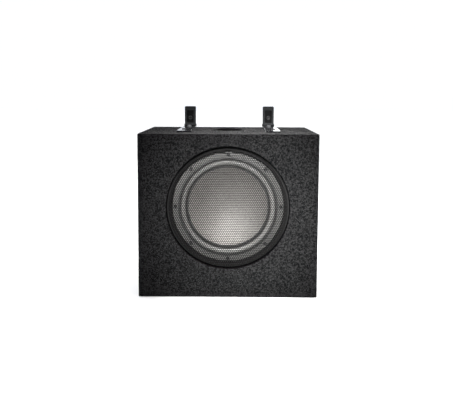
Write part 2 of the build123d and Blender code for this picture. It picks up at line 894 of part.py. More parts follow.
knob_radius = 6.5
for name, knob_y in knob_places.items():
    with BuildPart() as knob:
        with BuildSketch(side_plane(board_front + 1)):
            with Locations((knob_y, row_knobs)):
                Circle(shaft_radius)
        extrude(amount=plate_front - board_front - 0.4)
        with BuildSketch(side_plane(plate_front + 0.6)):
            with Locations((knob_y, row_knobs)):
                Circle(knob_radius)
        extrude(amount=6.4)
        chamfer(knob.faces().sort_by(Axis.X)[-1].edges(), 0.7)
        # A pointer slot across the upper half of the knob's face.
        with BuildSketch(side_plane(plate_front + 7)):
            with Locations((knob_y, row_knobs + 3.4)):
                Rectangle(1.1, 4.6)
        extrude(amount=-0.8, mode=Mode.SUBTRACT)
    finish(knob, name)

with BuildPart() as switch_bodies:
    for switch_y, switch_z in slider_places.values():
        block((board_front, switch_y - 4, switch_z - 8), (plate_back - 0.3, switch_y + 4, switch_z + 8))
    with BuildSketch(side_plane(plate_back - 0.3)):
        with Locations(*slider_places.values()):
            Rectangle(4.2, 10.4)
    extrude(amount=-7, mode=Mode.SUBTRACT)
finish(switch_bodies, "switch_bodies")

slide_travel = 4
for name, (slider_y, slider_z) in slider_places.items():
    with BuildPart() as slider:
        middle_z = slider_z - slide_travel / 2
        block(
            (plate_back - 6.5, slider_y - 1.5, middle_z - 2),
            (plate_front + 3, slider_y + 1.5, middle_z + 2),
        )
        fillet(slider.faces().sort_by(Axis.X)[-1].edges(), 0.4)
    finish(slider, name)

with BuildPart() as power_led:
    with BuildSketch(side_plane(board_front)):
        with Locations(led_place):
            Circle(2.4)
    extrude(amount=plate_front + 1.6 - board_front)
    fillet(power_led.faces().sort_by(Axis.X)[-1].edges(), 1.8)
finish(power_led, "power_led")
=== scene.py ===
import bmesh
import bpy
import math
from mathutils import Matrix, Vector, noise


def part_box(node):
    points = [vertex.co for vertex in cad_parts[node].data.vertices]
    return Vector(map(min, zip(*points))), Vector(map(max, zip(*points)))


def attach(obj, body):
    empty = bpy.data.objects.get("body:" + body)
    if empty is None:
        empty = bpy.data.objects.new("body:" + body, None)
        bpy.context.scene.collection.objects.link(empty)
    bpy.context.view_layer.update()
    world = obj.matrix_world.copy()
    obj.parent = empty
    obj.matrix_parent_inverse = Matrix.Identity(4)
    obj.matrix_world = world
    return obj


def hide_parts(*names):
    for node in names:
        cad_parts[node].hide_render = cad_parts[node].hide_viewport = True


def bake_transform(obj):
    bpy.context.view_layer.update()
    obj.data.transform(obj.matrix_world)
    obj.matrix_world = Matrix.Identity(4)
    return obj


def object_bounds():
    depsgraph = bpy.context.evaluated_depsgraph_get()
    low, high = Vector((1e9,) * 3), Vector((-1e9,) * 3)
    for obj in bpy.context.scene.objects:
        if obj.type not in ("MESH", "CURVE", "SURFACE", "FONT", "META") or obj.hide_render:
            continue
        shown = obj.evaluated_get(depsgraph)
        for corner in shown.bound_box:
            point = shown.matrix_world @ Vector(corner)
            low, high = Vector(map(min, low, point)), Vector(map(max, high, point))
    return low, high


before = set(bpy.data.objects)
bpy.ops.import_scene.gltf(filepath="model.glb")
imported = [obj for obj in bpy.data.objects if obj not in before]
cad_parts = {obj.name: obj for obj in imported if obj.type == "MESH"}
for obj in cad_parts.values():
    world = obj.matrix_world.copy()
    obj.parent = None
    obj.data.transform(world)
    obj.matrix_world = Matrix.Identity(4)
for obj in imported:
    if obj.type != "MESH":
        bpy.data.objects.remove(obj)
cadLow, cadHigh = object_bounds()  # the CAD box, before any dressing
mm = 0.001
turn = 2 * math.pi
scene = bpy.context.scene


def corners(node):
    # lowest and highest corner of a CAD part, in millimetres
    lowest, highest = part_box(node)
    return lowest / mm, highest / mm


def middleOf(node):
    lowest, highest = corners(node)
    return (lowest + highest) / 2


driverCentre = Vector((0, 0, middleOf("grille").z))
portLow, portHigh = corners("port_tube")
portCentre = Vector((0, middleOf("port_tube").y, 0))
padFront = corners("clamp_pad_left")[0].y


def put(tree, kind, inputs=None, **settings):
    # one node, its settings, and each input set to a value or wired to a socket
    node = tree.nodes.new(kind)
    for key, value in settings.items():
        setattr(node, key, value)
    for key, value in (inputs or {}).items():
        if isinstance(value, bpy.types.NodeSocket):
            tree.links.new(value, node.inputs[key])
        else:
            node.inputs[key].default_value = value
    return node


def take(tree, kind, inputs=None, **settings):
    # the first output of such a node
    return put(tree, kind, inputs, **settings).outputs[0]


def sums(tree, operation, *values):
    return take(tree, "ShaderNodeMath", dict(enumerate(values)), operation=operation)


def mapped(tree, value, fromLow, fromHigh, toLow=0.0, toHigh=1.0):
    return take(tree, "ShaderNodeMapRange", {
        "Value": value, "From Min": fromLow, "From Max": fromHigh, "To Min": toLow, "To Max": toHigh})


def linked(name, data):
    holder = bpy.data.objects.new(name, data)
    scene.collection.objects.link(holder)
    return holder


# finishes: every slot of the CAD parts gets its own surface


def pattern(tree, place, kind, scale, stretch=(1, 1, 1), tilt=(0, 0, 0)):
    # a value that varies over the surface; the sizes in stretch and tilt depend on the kind
    if kind == "between":  # how far a point is from one plane to another, along the axis named in tilt
        first, last = stretch
        along = put(tree, "ShaderNodeSeparateXYZ", {0: place}).outputs[tilt]
        return mapped(tree, along, first * mm, last * mm)
    if kind == "ring":  # how far a point is from a ring about the driver's axis
        centre, radius, width = stretch
        flat = take(tree, "ShaderNodeVectorMath", {0: place, 1: -centre * mm}, operation="ADD")
        level = take(tree, "ShaderNodeVectorMath", {0: flat, 1: (1, 0, 1)}, operation="MULTIPLY")
        reach = put(tree, "ShaderNodeVectorMath", {0: level}, operation="LENGTH").outputs["Value"]
        off = sums(tree, "ABSOLUTE", sums(tree, "SUBTRACT", reach, radius * mm))
        return mapped(tree, off, 0.0, width * mm)
    placed = take(tree, "ShaderNodeMapping", {
        "Vector": place, "Scale": stretch, "Rotation": [math.radians(a) for a in tilt]})
    if kind == "noise":
        return take(tree, "ShaderNodeTexNoise", {
            "Vector": placed, "Scale": scale, "Detail": 6, "Roughness": 0.62})
    if kind in ("cells", "flakes"):
        output = "Distance" if kind == "cells" else "Color"
        return put(tree, "ShaderNodeTexVoronoi", {"Vector": placed, "Scale": scale}).outputs[output]
    return put(tree, "ShaderNodeTexWave", {  # lines along one axis, with a little waver
        "Vector": placed, "Scale": scale, "Distortion": 0.6, "Detail": 2, "Detail Scale": 2.0},
        wave_type="BANDS", bands_direction=kind).outputs["Fac"]


def makeFinish(label, recipe):
    material = bpy.data.materials.new(label)
    material.use_nodes = True
    tree = material.node_tree
    shader = tree.nodes["Principled BSDF"]
    shader.inputs["Metallic"].default_value = recipe.get("metal", 0.0)
    for socket, value in recipe.get("shader", {}).items():
        shader.inputs[socket].default_value = value
    place = put(tree, "ShaderNodeTexCoord").outputs["Object"]
    dark, light = recipe["tones"]
    low, high = recipe.get("spread", (0.32, 0.68))
    spots = pattern(tree, place, *recipe["spots"])
    ramp = put(tree, "ShaderNodeValToRGB", {"Fac": spots})
    for end, at, tone in zip(ramp.color_ramp.elements, (low, high), (dark, light)):
        end.position, end.color = at, (*tone, 1)
    tree.links.new(ramp.outputs["Color"], shader.inputs["Base Color"])
    smooth, coarse = recipe["rough"]
    patches = pattern(tree, place, *recipe.get("patches", ("noise", 90)))
    tree.links.new(mapped(tree, patches, 0.3, 0.7, smooth, coarse), shader.inputs["Roughness"])
    normal = None
    for depth, *kind in recipe["relief"]:
        bump = put(tree, "ShaderNodeBump", {
            "Height": pattern(tree, place, *kind), "Distance": depth * mm, "Strength": 1.0})
        if normal:
            tree.links.new(normal, bump.inputs["Normal"])
        normal = bump.outputs["Normal"]
    tree.links.new(normal, shader.inputs["Normal"])
    return material


def greys(dark, light):
    # two tones without a tint
    return (dark,) * 3, (light,) * 3


finishRecipes = {
    "mdf": dict(tones=((0.30, 0.19, 0.10), (0.50, 0.35, 0.21)), spots=("noise", 700), rough=(0.7, 0.9),
        relief=[(0.12, "noise", 900), (0.05, "cells", 1500)]),
    "stained_mdf": dict(tones=greys(0.0015, 0.004), spots=("noise", 700), rough=(0.75, 0.9),
        shader={"Specular IOR Level": 0.1}, relief=[(0.12, "noise", 900), (0.05, "cells", 1500)]),
    "carpet": dict(tones=((0.0004, 0.0004, 0.0006), (0.0120, 0.0120, 0.0123)), spots=("noise", 360),
        spread=(0.42, 0.62), rough=(0.85, 1.0), patches=("noise", 30),
        shader={"Sheen Weight": 0.055, "Sheen Roughness": 0.4, "Specular IOR Level": 0.03},
        relief=[(0.9, "noise", 380), (0.35, "noise", 1100, (1, 1, 4), (20, 40, 10)),
                (0.35, "noise", 1100, (4, 1, 1), (0, 35, 60))]),
    # a darker carpet without sheen for the wall in the grille hole: painted shade in the recess
    "shaded_felt": dict(tones=((0.0006, 0.0006, 0.0007), (0.0045, 0.0045, 0.0047)), spots=("noise", 360),
        spread=(0.42, 0.62), rough=(0.9, 1.0), shader={"Specular IOR Level": 0.0},
        relief=[(0.5, "noise", 380), (0.25, "noise", 1100)]),
    "grille_paint": dict(tones=greys(0.0010, 0.0026), spots=("noise", 600), rough=(0.55, 0.7),
        shader={"Specular IOR Level": 0.035}, relief=[(0.02, "noise", 1800), (0.01, "cells", 3200)]),
    "ring_plastic": dict(tones=((0.0015, 0.0015, 0.0016), (0.0035, 0.0035, 0.0036)), spots=("noise", 300),
        rough=(0.55, 0.7), shader={"Specular IOR Level": 0.08}, relief=[(0.03, "cells", 2400)]),
    "port_plastic": dict(tones=((0.0012, 0.0012, 0.0014), (0.0028, 0.0028, 0.0030)), spots=("noise", 260),
        rough=(0.6, 0.75), shader={"Specular IOR Level": 0.02},
        relief=[(0.02, "cells", 2200), (0.03, "noise", 300)]),
    "frame_paint": dict(tones=((0.042, 0.042, 0.041), (0.060, 0.060, 0.058)), spots=("noise", 500),
        rough=(0.38, 0.55), relief=[(0.03, "noise", 1400)]),
    # the roll's tone follows a ring about the driver's axis: a painted highlight along the crest and painted
    # shade in the grooves at both lips
    "surround_rubber": dict(tones=((0.135, 0.135, 0.131), (0.006, 0.006, 0.006)), spread=(0.3, 0.95),
        spots=("ring", 0, (driverCentre, 85.2, 7.0)), rough=(0.42, 0.55), relief=[(0.03, "noise", 1500)]),
    "cone_skin": dict(tones=((0.090, 0.0865, 0.082), (0.122, 0.117, 0.111)), spots=("noise", 260), metal=0.35,
        rough=(0.48, 0.58), relief=[(0.05, "noise", 900), (0.03, "noise", 220)]),
    "coupler_pulp": dict(tones=((0.06, 0.055, 0.05), (0.12, 0.11, 0.10)), spots=("noise", 600),
        rough=(0.8, 0.95), relief=[(0.12, "noise", 1300)]),
    "former_foil": dict(tones=((0.62, 0.62, 0.63), (0.80, 0.80, 0.81)), spots=("noise", 180), metal=1.0,
        rough=(0.22, 0.36), relief=[(0.01, "noise", 900, (1, 12, 1))]),
    "copper_wire": dict(tones=((0.50, 0.17, 0.07), (0.80, 0.36, 0.18)), spots=("Y", 480), metal=1.0,
        rough=(0.28, 0.4), relief=[(0.08, "Y", 480)]),
    "spider_cloth": dict(tones=((0.42, 0.22, 0.07), (0.66, 0.40, 0.16)), spots=("X", 420), rough=(0.75, 0.9),
        relief=[(0.12, "X", 420), (0.12, "Z", 420)]),
    "motor_steel": dict(tones=((0.42, 0.42, 0.40), (0.60, 0.59, 0.55)), spots=("noise", 120), metal=1.0,
        rough=(0.3, 0.45), relief=[(0.02, "noise", 700, (1, 9, 1))]),
    "ferrite": dict(tones=((0.030, 0.030, 0.032), (0.060, 0.060, 0.064)), spots=("noise", 800),
        rough=(0.55, 0.75), relief=[(0.08, "noise", 1600)]),
    "terminal_board": dict(tones=((0.30, 0.17, 0.07), (0.46, 0.29, 0.14)), spots=("noise", 500, (1, 1, 8)),
        rough=(0.5, 0.65), relief=[(0.03, "noise", 1500)]),
    "tinsel": dict(tones=((0.45, 0.30, 0.16), (0.85, 0.62, 0.40)), spots=("Z", 900), metal=0.9,
        rough=(0.3, 0.45), relief=[(0.1, "Z", 900), (0.1, "X", 900)]),
    "black_screw": dict(tones=((0.006, 0.006, 0.007), (0.014, 0.014, 0.016)), spots=("noise", 700),
        rough=(0.36, 0.5), shader={"Specular IOR Level": 0.25}, relief=[(0.02, "noise", 1500)]),
    "bright_screw": dict(tones=((0.10, 0.10, 0.105), (0.18, 0.18, 0.187)), spots=("noise", 500), metal=1.0,
        rough=(0.42, 0.55), relief=[(0.02, "noise", 1600)]),
    "red_lead": dict(tones=((0.42, 0.015, 0.012), (0.56, 0.03, 0.02)), spots=("noise", 300),
        rough=(0.36, 0.5), relief=[(0.03, "noise", 700)]),
    "black_lead": dict(tones=greys(0.010, 0.020), spots=("noise", 300), rough=(0.36, 0.5),
        relief=[(0.03, "noise", 700)]),
    "gloss_black_steel": dict(tones=((0.004, 0.004, 0.005), (0.008, 0.008, 0.009)), spots=("noise", 160),
        rough=(0.10, 0.17), patches=("noise", 45), shader={"Coat Weight": 0.2, "Coat Roughness": 0.1},
        relief=[(0.015, "noise", 320), (0.006, "noise", 1500)]),
    # the pad is painted lighter on its raised front border and darker in the recessed panel behind it: a
    # painted highlight on the border and painted shade in the recess
    "pad_plastic": dict(tones=((0.030, 0.031, 0.033), (0.0035, 0.0035, 0.004)), spread=(0.3, 0.8),
        spots=("between", 0, (padFront + 0.4, padFront + 2.6), 1), rough=(0.5, 0.62),
        shader={"Specular IOR Level": 0.1}, relief=[(0.04, "cells", 2600)]),
    "cast_aluminium": dict(tones=((0.020, 0.020, 0.021), (0.034, 0.034, 0.036)), spots=("noise", 500),
        rough=(0.42, 0.55), relief=[(0.05, "cells", 1700), (0.04, "noise", 500)]),
    "gasket_foam": dict(tones=greys(0.010, 0.024), spots=("cells", 900), rough=(0.85, 1.0),
        relief=[(0.15, "cells", 1100)]),
    "tray_steel": dict(tones=((0.48, 0.49, 0.50), (0.66, 0.67, 0.68)), spots=("flakes", 60), metal=1.0,
        rough=(0.35, 0.5), relief=[(0.02, "noise", 600)]),
    "board_laminate": dict(tones=((0.010, 0.075, 0.030), (0.020, 0.13, 0.055)), spots=("flakes", 260),
        rough=(0.3, 0.42), relief=[(0.04, "Y", 330), (0.04, "Z", 330)]),
    "standoff_brass": dict(tones=((0.52, 0.36, 0.12), (0.78, 0.58, 0.24)), spots=("noise", 400), metal=1.0,
        rough=(0.25, 0.38), relief=[(0.02, "noise", 1500)]),
    "toroid_wire": dict(tones=((0.32, 0.10, 0.03), (0.75, 0.33, 0.14)), spots=("Z", 420), metal=0.8,
        rough=(0.25, 0.38), relief=[(0.2, "Z", 420)]),
    "capacitor_sleeve": dict(tones=((0.010, 0.012, 0.022), (0.018, 0.021, 0.036)), spots=("noise", 260),
        rough=(0.22, 0.34), relief=[(0.02, "noise", 500)]),
    "component_epoxy": dict(tones=greys(0.012, 0.022), spots=("noise", 900), rough=(0.5, 0.62),
        relief=[(0.04, "cells", 3000)]),
    "connector_plastic": dict(tones=greys(0.010, 0.018), spots=("noise", 400), rough=(0.36, 0.48),
        relief=[(0.03, "cells", 2400)]),
    "fuse_plastic": dict(tones=((0.60, 0.20, 0.010), (0.78, 0.30, 0.02)), spots=("noise", 260),
        rough=(0.16, 0.28), shader={"Transmission Weight": 0.35, "IOR": 1.5}, relief=[(0.02, "noise", 600)]),
    "jack_plating": dict(tones=((0.56, 0.55, 0.52), (0.78, 0.77, 0.73)), spots=("noise", 300), metal=1.0,
        rough=(0.16, 0.28), relief=[(0.015, "noise", 1500)]),
    "knob_plastic": dict(tones=greys(0.012, 0.020), spots=("noise", 500), rough=(0.4, 0.52),
        relief=[(0.04, "cells", 2800)]),
    "led_lens": dict(tones=((0.05, 0.40, 0.10), (0.10, 0.60, 0.18)), spots=("noise", 500), rough=(0.1, 0.2),
        shader={"Transmission Weight": 0.4, "Emission Color": (0.1, 0.8, 0.25, 1), "Emission Strength": 0.15},
        relief=[(0.02, "noise", 900)]),
}
finishes = {label: makeFinish(label + "_finish", recipe) for label, recipe in finishRecipes.items()}
slotOf = {name: node.data.materials[0].name for name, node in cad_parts.items()}
for name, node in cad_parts.items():
    for socket in node.material_slots:
        socket.link = "OBJECT"
        socket.material = finishes[slotOf[name]]
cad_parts["driver_baffle"].material_slots[0].material = finishes["stained_mdf"]  # dark behind the grille
print("finishes:", len(finishes))


# shaping tools


def addPiece(name, mesh, slotName, body="cabinet", nodes=(), sharp=35, riding=True):
    # a finished mesh becomes a piece of the object
    mesh.materials.clear()
    mesh.materials.append(finishes[slotName])
    mesh.shade_smooth()
    mesh.set_sharp_from_angle(angle=math.radians(sharp))
    piece = linked(name, mesh)
    if nodes:
        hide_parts(*nodes)
    if riding:
        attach(piece, body)
    return piece


def meshOf(name, bm):
    mesh = bpy.data.meshes.new(name)
    bm.to_mesh(mesh)
    bm.free()
    return mesh


def closeMesh(name, bm, weld=1e-6):
    bmesh.ops.remove_doubles(bm, verts=bm.verts, dist=weld)
    bmesh.ops.recalc_face_normals(bm, faces=bm.faces)
    return meshOf(name, bm)


def softened(points, radii, steps=4):
    # a closed outline with its corners rounded off
    result = []
    for index, (corner, radius) in enumerate(zip(points, radii)):
        corner = Vector(corner)
        if not radius:
            result.append(tuple(corner))
            continue
        ends = []
        for other in (Vector(points[index - 1]), Vector(points[(index + 1) % len(points)])):
            reach = other - corner
            ends.append(corner + reach.normalized() * min(radius, reach.length * 0.49))
        for step in range(steps + 1):
            t = step / steps
            result.append(tuple((1 - t) ** 2 * ends[0] + 2 * t * (1 - t) * corner + t * t * ends[1]))
    return result


def axisPlacer(axis, centre):
    # radius, height and angle about an axis, as a point
    cx, cy, cz = centre
    if axis == "y":
        return lambda r, h, a: (cx + r * math.sin(a), h, cz + r * math.cos(a))
    if axis == "x":
        return lambda r, h, a: (h, cy + r * math.sin(a), cz + r * math.cos(a))
    return lambda r, h, a: (cx + r * math.sin(a), cy + r * math.cos(a), h)


def turned(name, outline, axis="y", centre=(0, 0, 0), steps=128, start=0.0, sweep=turn, shape=None):
    # a closed outline of (radius, height) in millimetres, spun about an axis; shape bends the radius by angle
    place = axisPlacer(axis, centre)
    whole = abs(sweep - turn) < 1e-6
    bm = bmesh.new()
    rings = []
    for step in range(steps if whole else steps + 1):
        angle = start + sweep * step / steps
        rings.append([bm.verts.new(Vector(place((shape(r, h, angle) if shape else r), h, angle)) * mm)
                      for r, h in outline])
    for index in range(steps):
        one, two = rings[index], rings[(index + 1) % len(rings)]
        for k in range(len(outline)):
            after = (k + 1) % len(outline)
            if outline[k][0] or outline[after][0]:
                bm.faces.new((one[k], one[after], two[after], two[k]))
    if not whole:
        bm.faces.new(rings[0])
        bm.faces.new(rings[-1])
    return closeMesh(name, bm)


def block(name, low, high, bevel=0.3, segments=2):
    # a box with rounded edges, in millimetres
    bm = bmesh.new()
    bmesh.ops.create_cube(bm, size=1)
    size = Vector(high) - Vector(low)
    middle = (Vector(high) + Vector(low)) / 2
    for vert in bm.verts:
        vert.co = Vector(c * s for c, s in zip(vert.co, size)) + middle
    bmesh.ops.bevel(bm, geom=list(bm.edges), offset=bevel, segments=segments, profile=0.5, affect="EDGES")
    bmesh.ops.scale(bm, vec=(mm, mm, mm), verts=bm.verts)
    return closeMesh(name, bm)


def trimmed(node, name, bevel, segments=2, body="cabinet"):
    # a CAD part's own shape with its edges broken, so that they catch the light
    bm = bmesh.new()
    bm.from_mesh(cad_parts[node].data)
    bmesh.ops.remove_doubles(bm, verts=bm.verts, dist=2e-6)
    bmesh.ops.dissolve_limit(bm, angle_limit=math.radians(0.6), verts=bm.verts, edges=bm.edges)
    piece = addPiece(name, meshOf(name, bm), slotOf[node], body, [node], sharp=30)
    edge = piece.modifiers.new("edges", "BEVEL")
    edge.width, edge.segments, edge.limit_method = bevel * mm, segments, "ANGLE"
    edge.angle_limit = math.radians(35)
    edge.harden_normals = True
    return piece


def newTree(name, sockets):
    tree = bpy.data.node_groups.new(name, "GeometryNodeTree")
    tree.interface.new_socket("Geometry", in_out="INPUT", socket_type="NodeSocketGeometry")
    for label, kind in sockets:
        tree.interface.new_socket(label, in_out="INPUT", socket_type="NodeSocket" + kind)
    tree.interface.new_socket("Geometry", in_out="OUTPUT", socket_type="NodeSocketGeometry")
    return tree, put(tree, "NodeGroupInput").outputs


def endTree(tree, geometry, material):
    # every tree ends in real geometry with its finish
    real = take(tree, "GeometryNodeRealizeInstances", {"Geometry": geometry})
    dressed = take(tree, "GeometryNodeSetMaterial", {"Geometry": real, "Material": material})
    tree.links.new(dressed, put(tree, "NodeGroupOutput").inputs[0])


def copies(tree, points, sample, **more):
    # the sample on every point
    shape = put(tree, "GeometryNodeObjectInfo", {"Object": sample, "As Instance": True}).outputs["Geometry"]
    return take(tree, "GeometryNodeInstanceOnPoints", {"Points": points, "Instance": shape, **more})


def chance(tree, low, high, seed):
    return put(tree, "FunctionNodeRandomValue", {"Min": low, "Max": high, "Seed": seed},
               data_type="FLOAT").outputs["Value"]


def together(tree, *parts):
    group = put(tree, "GeometryNodeJoinGeometry")
    for part in parts:
        tree.links.new(part, group.inputs[0])
    return group.outputs[0]


def welded(tree, *parts):
    return take(tree, "GeometryNodeMergeByDistance", {"Geometry": together(tree, *parts), "Distance": 2e-6})


def grown(name, host, tree, values):
    # the tree's result on a host mesh, as a plain mesh
    carrier = linked(name + "_host", host)
    modifier = carrier.modifiers.new("grow", "NODES")
    modifier.node_group = tree
    for item in tree.interface.items_tree:
        if item.in_out == "INPUT" and item.name in values:
            modifier[item.identifier] = values[item.name]
    grownMesh = bpy.data.meshes.new_from_object(
        carrier.evaluated_get(bpy.context.evaluated_depsgraph_get()))
    carrier.modifiers.remove(modifier)
    bpy.data.objects.remove(carrier)
    grownMesh.name = name
    return grownMesh


def pointMesh(name, points):
    mesh = bpy.data.meshes.new(name)
    mesh.from_pydata([Vector(p) * mm for p in points], [], [])
    return mesh


# carpet: a strip over front, top and back, a sheet on each side and one underneath


carpet = {
    "cell": 3.5, "thickness": 2.3, "edge": 2.4, "waviness": 0.32, "waveSize": 24.0,
    "grilleHole": 115.8, "holeEdge": 1.4, "portHole": 32.3, "collarBack": 104.1, "ampHole": 0.6,
    "fibreLength": 3.2, "fibreWidth": 0.15, "fibreLift": 0.42, "fibresPerSquareMetre": 460000,
}
boxLow, boxHigh = corners("carpet_wrap")
sideLow, sideHigh = corners("carpet_left")[0], corners("carpet_right")[1]


def spread(a, b, cell):
    count = max(1, math.ceil(abs(b - a) / cell - 1e-6))
    return [a + (b - a) * step / count for step in range(count)]


def walled(bm, outer, inner, line):
    # faces between the two skins along a closed line
    for one, two in zip(line, line[1:] + line[:1]):
        bm.faces.new((outer[one], outer[two], inner[two], inner[one]))


def feltDip(point):
    # how far the felt sinks at a point, in millimetres
    size = carpet["waveSize"]
    value = noise.noise(point / size) + 0.5 * noise.noise(point / size * 3.1)
    return carpet["waviness"] * (0.5 + 0.5 * max(-1, min(1, value)))


def wrapPath():
    # places along the strip, from the foot of the front over the top to the foot of the back
    edge, cell = carpet["edge"], carpet["cell"]
    front, back, foot, top = boxLow.y, boxHigh.y, boxLow.z, boxHigh.z
    path = [((front, z), (-1, 0), "front") for z in spread(foot, top - edge, cell)]
    for a in spread(0, 90, 23):
        c, s = math.cos(math.radians(a)), math.sin(math.radians(a))
        path.append(((front + edge - edge * c, top - edge + edge * s), (-c, s), "front"))
    path += [((y, top), (0, 1), "top") for y in spread(front + edge, back - edge, cell)]
    for a in spread(0, 90, 23):
        c, s = math.cos(math.radians(a)), math.sin(math.radians(a))
        path.append(((back - edge + edge * s, top - edge + edge * c), (s, c), "top"))
    path += [((back, z), (1, 0), "back") for z in spread(top - edge, foot, cell)]
    path.append(((back, foot), (1, 0), "back"))
    return path


def holeLoop(grid, centre, radius, measure):
    # cells inside a round hole are left out, and the vertices round it are moved onto its edge
    inside, kept = set(), set()
    rows, columns = len(grid) - 1, len(grid[0]) - 1
    for i in range(rows):
        for j in range(columns):
            corners = [(i, j), (i + 1, j), (i + 1, j + 1), (i, j + 1)]
            middle = sum((measure(grid[a][b]) for a, b in corners), Vector((0, 0))) / 4
            if grid[i][j]["zone"] != grid[i + 1][j]["zone"] or (middle - centre).length > radius:
                kept.update(corners)
            elif measure.zone == grid[i][j]["zone"]:
                inside.add((i, j))
            else:
                kept.update(corners)
    loop = []
    touched = {corner for i, j in inside
               for corner in [(i, j), (i + 1, j), (i + 1, j + 1), (i, j + 1)]}
    for key in touched & kept:
        spot = grid[key[0]][key[1]]
        way = measure(spot) - centre
        loop.append((math.atan2(way.x, way.y), key))
        measure.move(spot, centre + way.normalized() * radius)
    loop.sort()
    return inside, [key for angle, key in loop]


class FaceMeasure:
    # flat coordinates on one face of the box
    def __init__(self, zone, axes):
        self.zone, self.axes = zone, axes

    def __call__(self, spot):
        return Vector((spot["at"][self.axes[0]], spot["at"][self.axes[1]]))

    def move(self, spot, flat):
        spot["at"][self.axes[0]], spot["at"][self.axes[1]] = flat


def buildWrap():
    thickness = carpet["thickness"]
    across = spread(boxLow.x, boxHigh.x, carpet["cell"]) + [boxHigh.x]
    grid = [[{"at": Vector((x, *yz)), "out": Vector((0, *out)), "zone": zone} for x in across]
            for yz, out, zone in wrapPath()]
    frontHole, frontLoop = holeLoop(grid, Vector((driverCentre.x, driverCentre.z)),
                                    carpet["grilleHole"] + carpet["holeEdge"], FaceMeasure("front", (0, 2)))
    topHole, topLoop = holeLoop(grid, Vector((portCentre.x, portCentre.y)),
                                carpet["portHole"], FaceMeasure("top", (0, 1)))
    bm = bmesh.new()
    outer, inner = {}, {}
    for i, row in enumerate(grid):
        for j, spot in enumerate(row):
            dip = 0 if (i, j) in frontLoop or (i, j) in topLoop else feltDip(spot["at"])
            outer[i, j] = bm.verts.new((spot["at"] - spot["out"] * dip) * mm)
            inner[i, j] = bm.verts.new((spot["at"] - spot["out"] * thickness) * mm)
    skins = {"front": [], "top": [], "back": []}
    rows, columns = len(grid) - 1, len(across) - 1
    for i in range(rows):
        for j in range(columns):
            if (i, j) in frontHole or (i, j) in topHole:
                continue
            corners = [(i, j), (i, j + 1), (i + 1, j + 1), (i + 1, j)]
            skins[grid[i][j]["zone"]].append(bm.faces.new([outer[c] for c in corners]))
            bm.faces.new([inner[c] for c in reversed(corners)])
    rim = [(0, j) for j in range(columns)] + [(i, columns) for i in range(rows)]
    rim += [(rows, j) for j in range(columns, 0, -1)] + [(i, 0) for i in range(rows, 0, -1)]
    for line in (rim, frontLoop, topLoop):
        walled(bm, outer, inner, line)
    bmesh.ops.recalc_face_normals(bm, faces=bm.faces)
    bm.verts.index_update()
    zones = {zone: [[v.co.copy() for v in face.verts] for face in faces] for zone, faces in skins.items()}
    bmesh.ops.delete(bm, geom=[v for v in bm.verts if not v.link_faces], context="VERTS")
    return closeMesh("carpet_strip", bm, 1e-7), zones


def buildCollar():
    # the felt's rolled edge in the grille hole and the wall behind it
    hole, lip, thickness = carpet["grilleHole"], carpet["holeEdge"], carpet["thickness"]
    front, back = boxLow.y, -carpet["collarBack"]
    outline = [(hole + lip * (1 - math.sin(a)), front + lip * (1 - math.cos(a)))
               for a in (math.radians(d) for d in range(0, 91, 18))]
    outline += [(hole, y) for y in spread(front + lip, back, 2.2)[1:]]
    outline += [(hole, back), (hole + thickness, back), (hole + thickness, front + thickness),
                (hole + lip, front + thickness)]
    return turned("carpet_collar", outline, "y", driverCentre, 240)


def buildLid(name, centre, ends, axis, side, hole=None):
    # a flat sheet with its rim rolled over; axis is the way it faces, side is +1 or -1
    edge, thickness = carpet["edge"], carpet["thickness"]
    others = [k for k in range(3) if k != axis]
    lines = []
    for order, k in enumerate(others):
        a, b = ends[order]
        marks = [a + edge, b - edge]
        if hole:
            marks = [a + edge, hole[order][0], hole[order][1], b - edge]
        inside = [x for m, n in zip(marks, marks[1:]) for x in spread(m, n, carpet["cell"])] + [marks[-1]]
        rolls = [90, 60, 30]
        lines.append([(a + edge, -r) for r in rolls] + [(x, 0) for x in inside]
                     + [(b - edge, r) for r in reversed(rolls)])
    bm = bmesh.new()
    outer, inner = {}, {}
    for i, (u, rollU) in enumerate(lines[0]):
        for j, (v, rollV) in enumerate(lines[1]):
            roll = math.radians(max(abs(rollU), abs(rollV)))
            way = Vector((rollU, rollV))
            way = way.normalized() if way.length else way
            flat = Vector((u, v)) + way * edge * math.sin(roll)
            at = Vector((0, 0, 0))
            at[others[0]], at[others[1]] = flat
            at[axis] = centre
            dip = feltDip(at) if not roll else 0
            deep = at.copy()
            at[axis] = centre - side * (edge * (1 - math.cos(roll)) + dip)
            deep[axis] = centre - side * (thickness + 0.15)
            outer[i, j], inner[i, j] = bm.verts.new(at * mm), bm.verts.new(deep * mm)
    rows, columns = len(lines[0]) - 1, len(lines[1]) - 1
    skin, gone = [], set()
    for i in range(rows):
        for j in range(columns):
            if hole and all(hole[k][0] - 0.01 <= line[n][0] and line[n + 1][0] <= hole[k][1] + 0.01
                            for k, (line, n) in enumerate(((lines[0], i), (lines[1], j)))):
                gone.add((i, j))
                continue
            corners = [(i, j), (i, j + 1), (i + 1, j + 1), (i + 1, j)]
            skin.append(bm.faces.new([outer[c] for c in corners]))
            bm.faces.new([inner[c] for c in reversed(corners)])
    for i in range(rows + 1):
        for j in range(columns + 1):
            for di, dj in ((1, 0), (0, 1)):
                if i + di > rows or j + dj > columns:
                    continue
                beside = [(i, j), (i - dj, j - di)]
                solid = [c for c in beside if 0 <= c[0] < rows and 0 <= c[1] < columns and c not in gone]
                if len(solid) == 1:
                    one, two = (i, j), (i + di, j + dj)
                    bm.faces.new((outer[one], outer[two], inner[two], inner[one]))
    bmesh.ops.recalc_face_normals(bm, faces=bm.faces)
    zone = [[v.co.copy() for v in face.verts] for face in skin]
    bmesh.ops.delete(bm, geom=[v for v in bm.verts if not v.link_faces], context="VERTS")
    return closeMesh(name, bm, 1e-7), zone


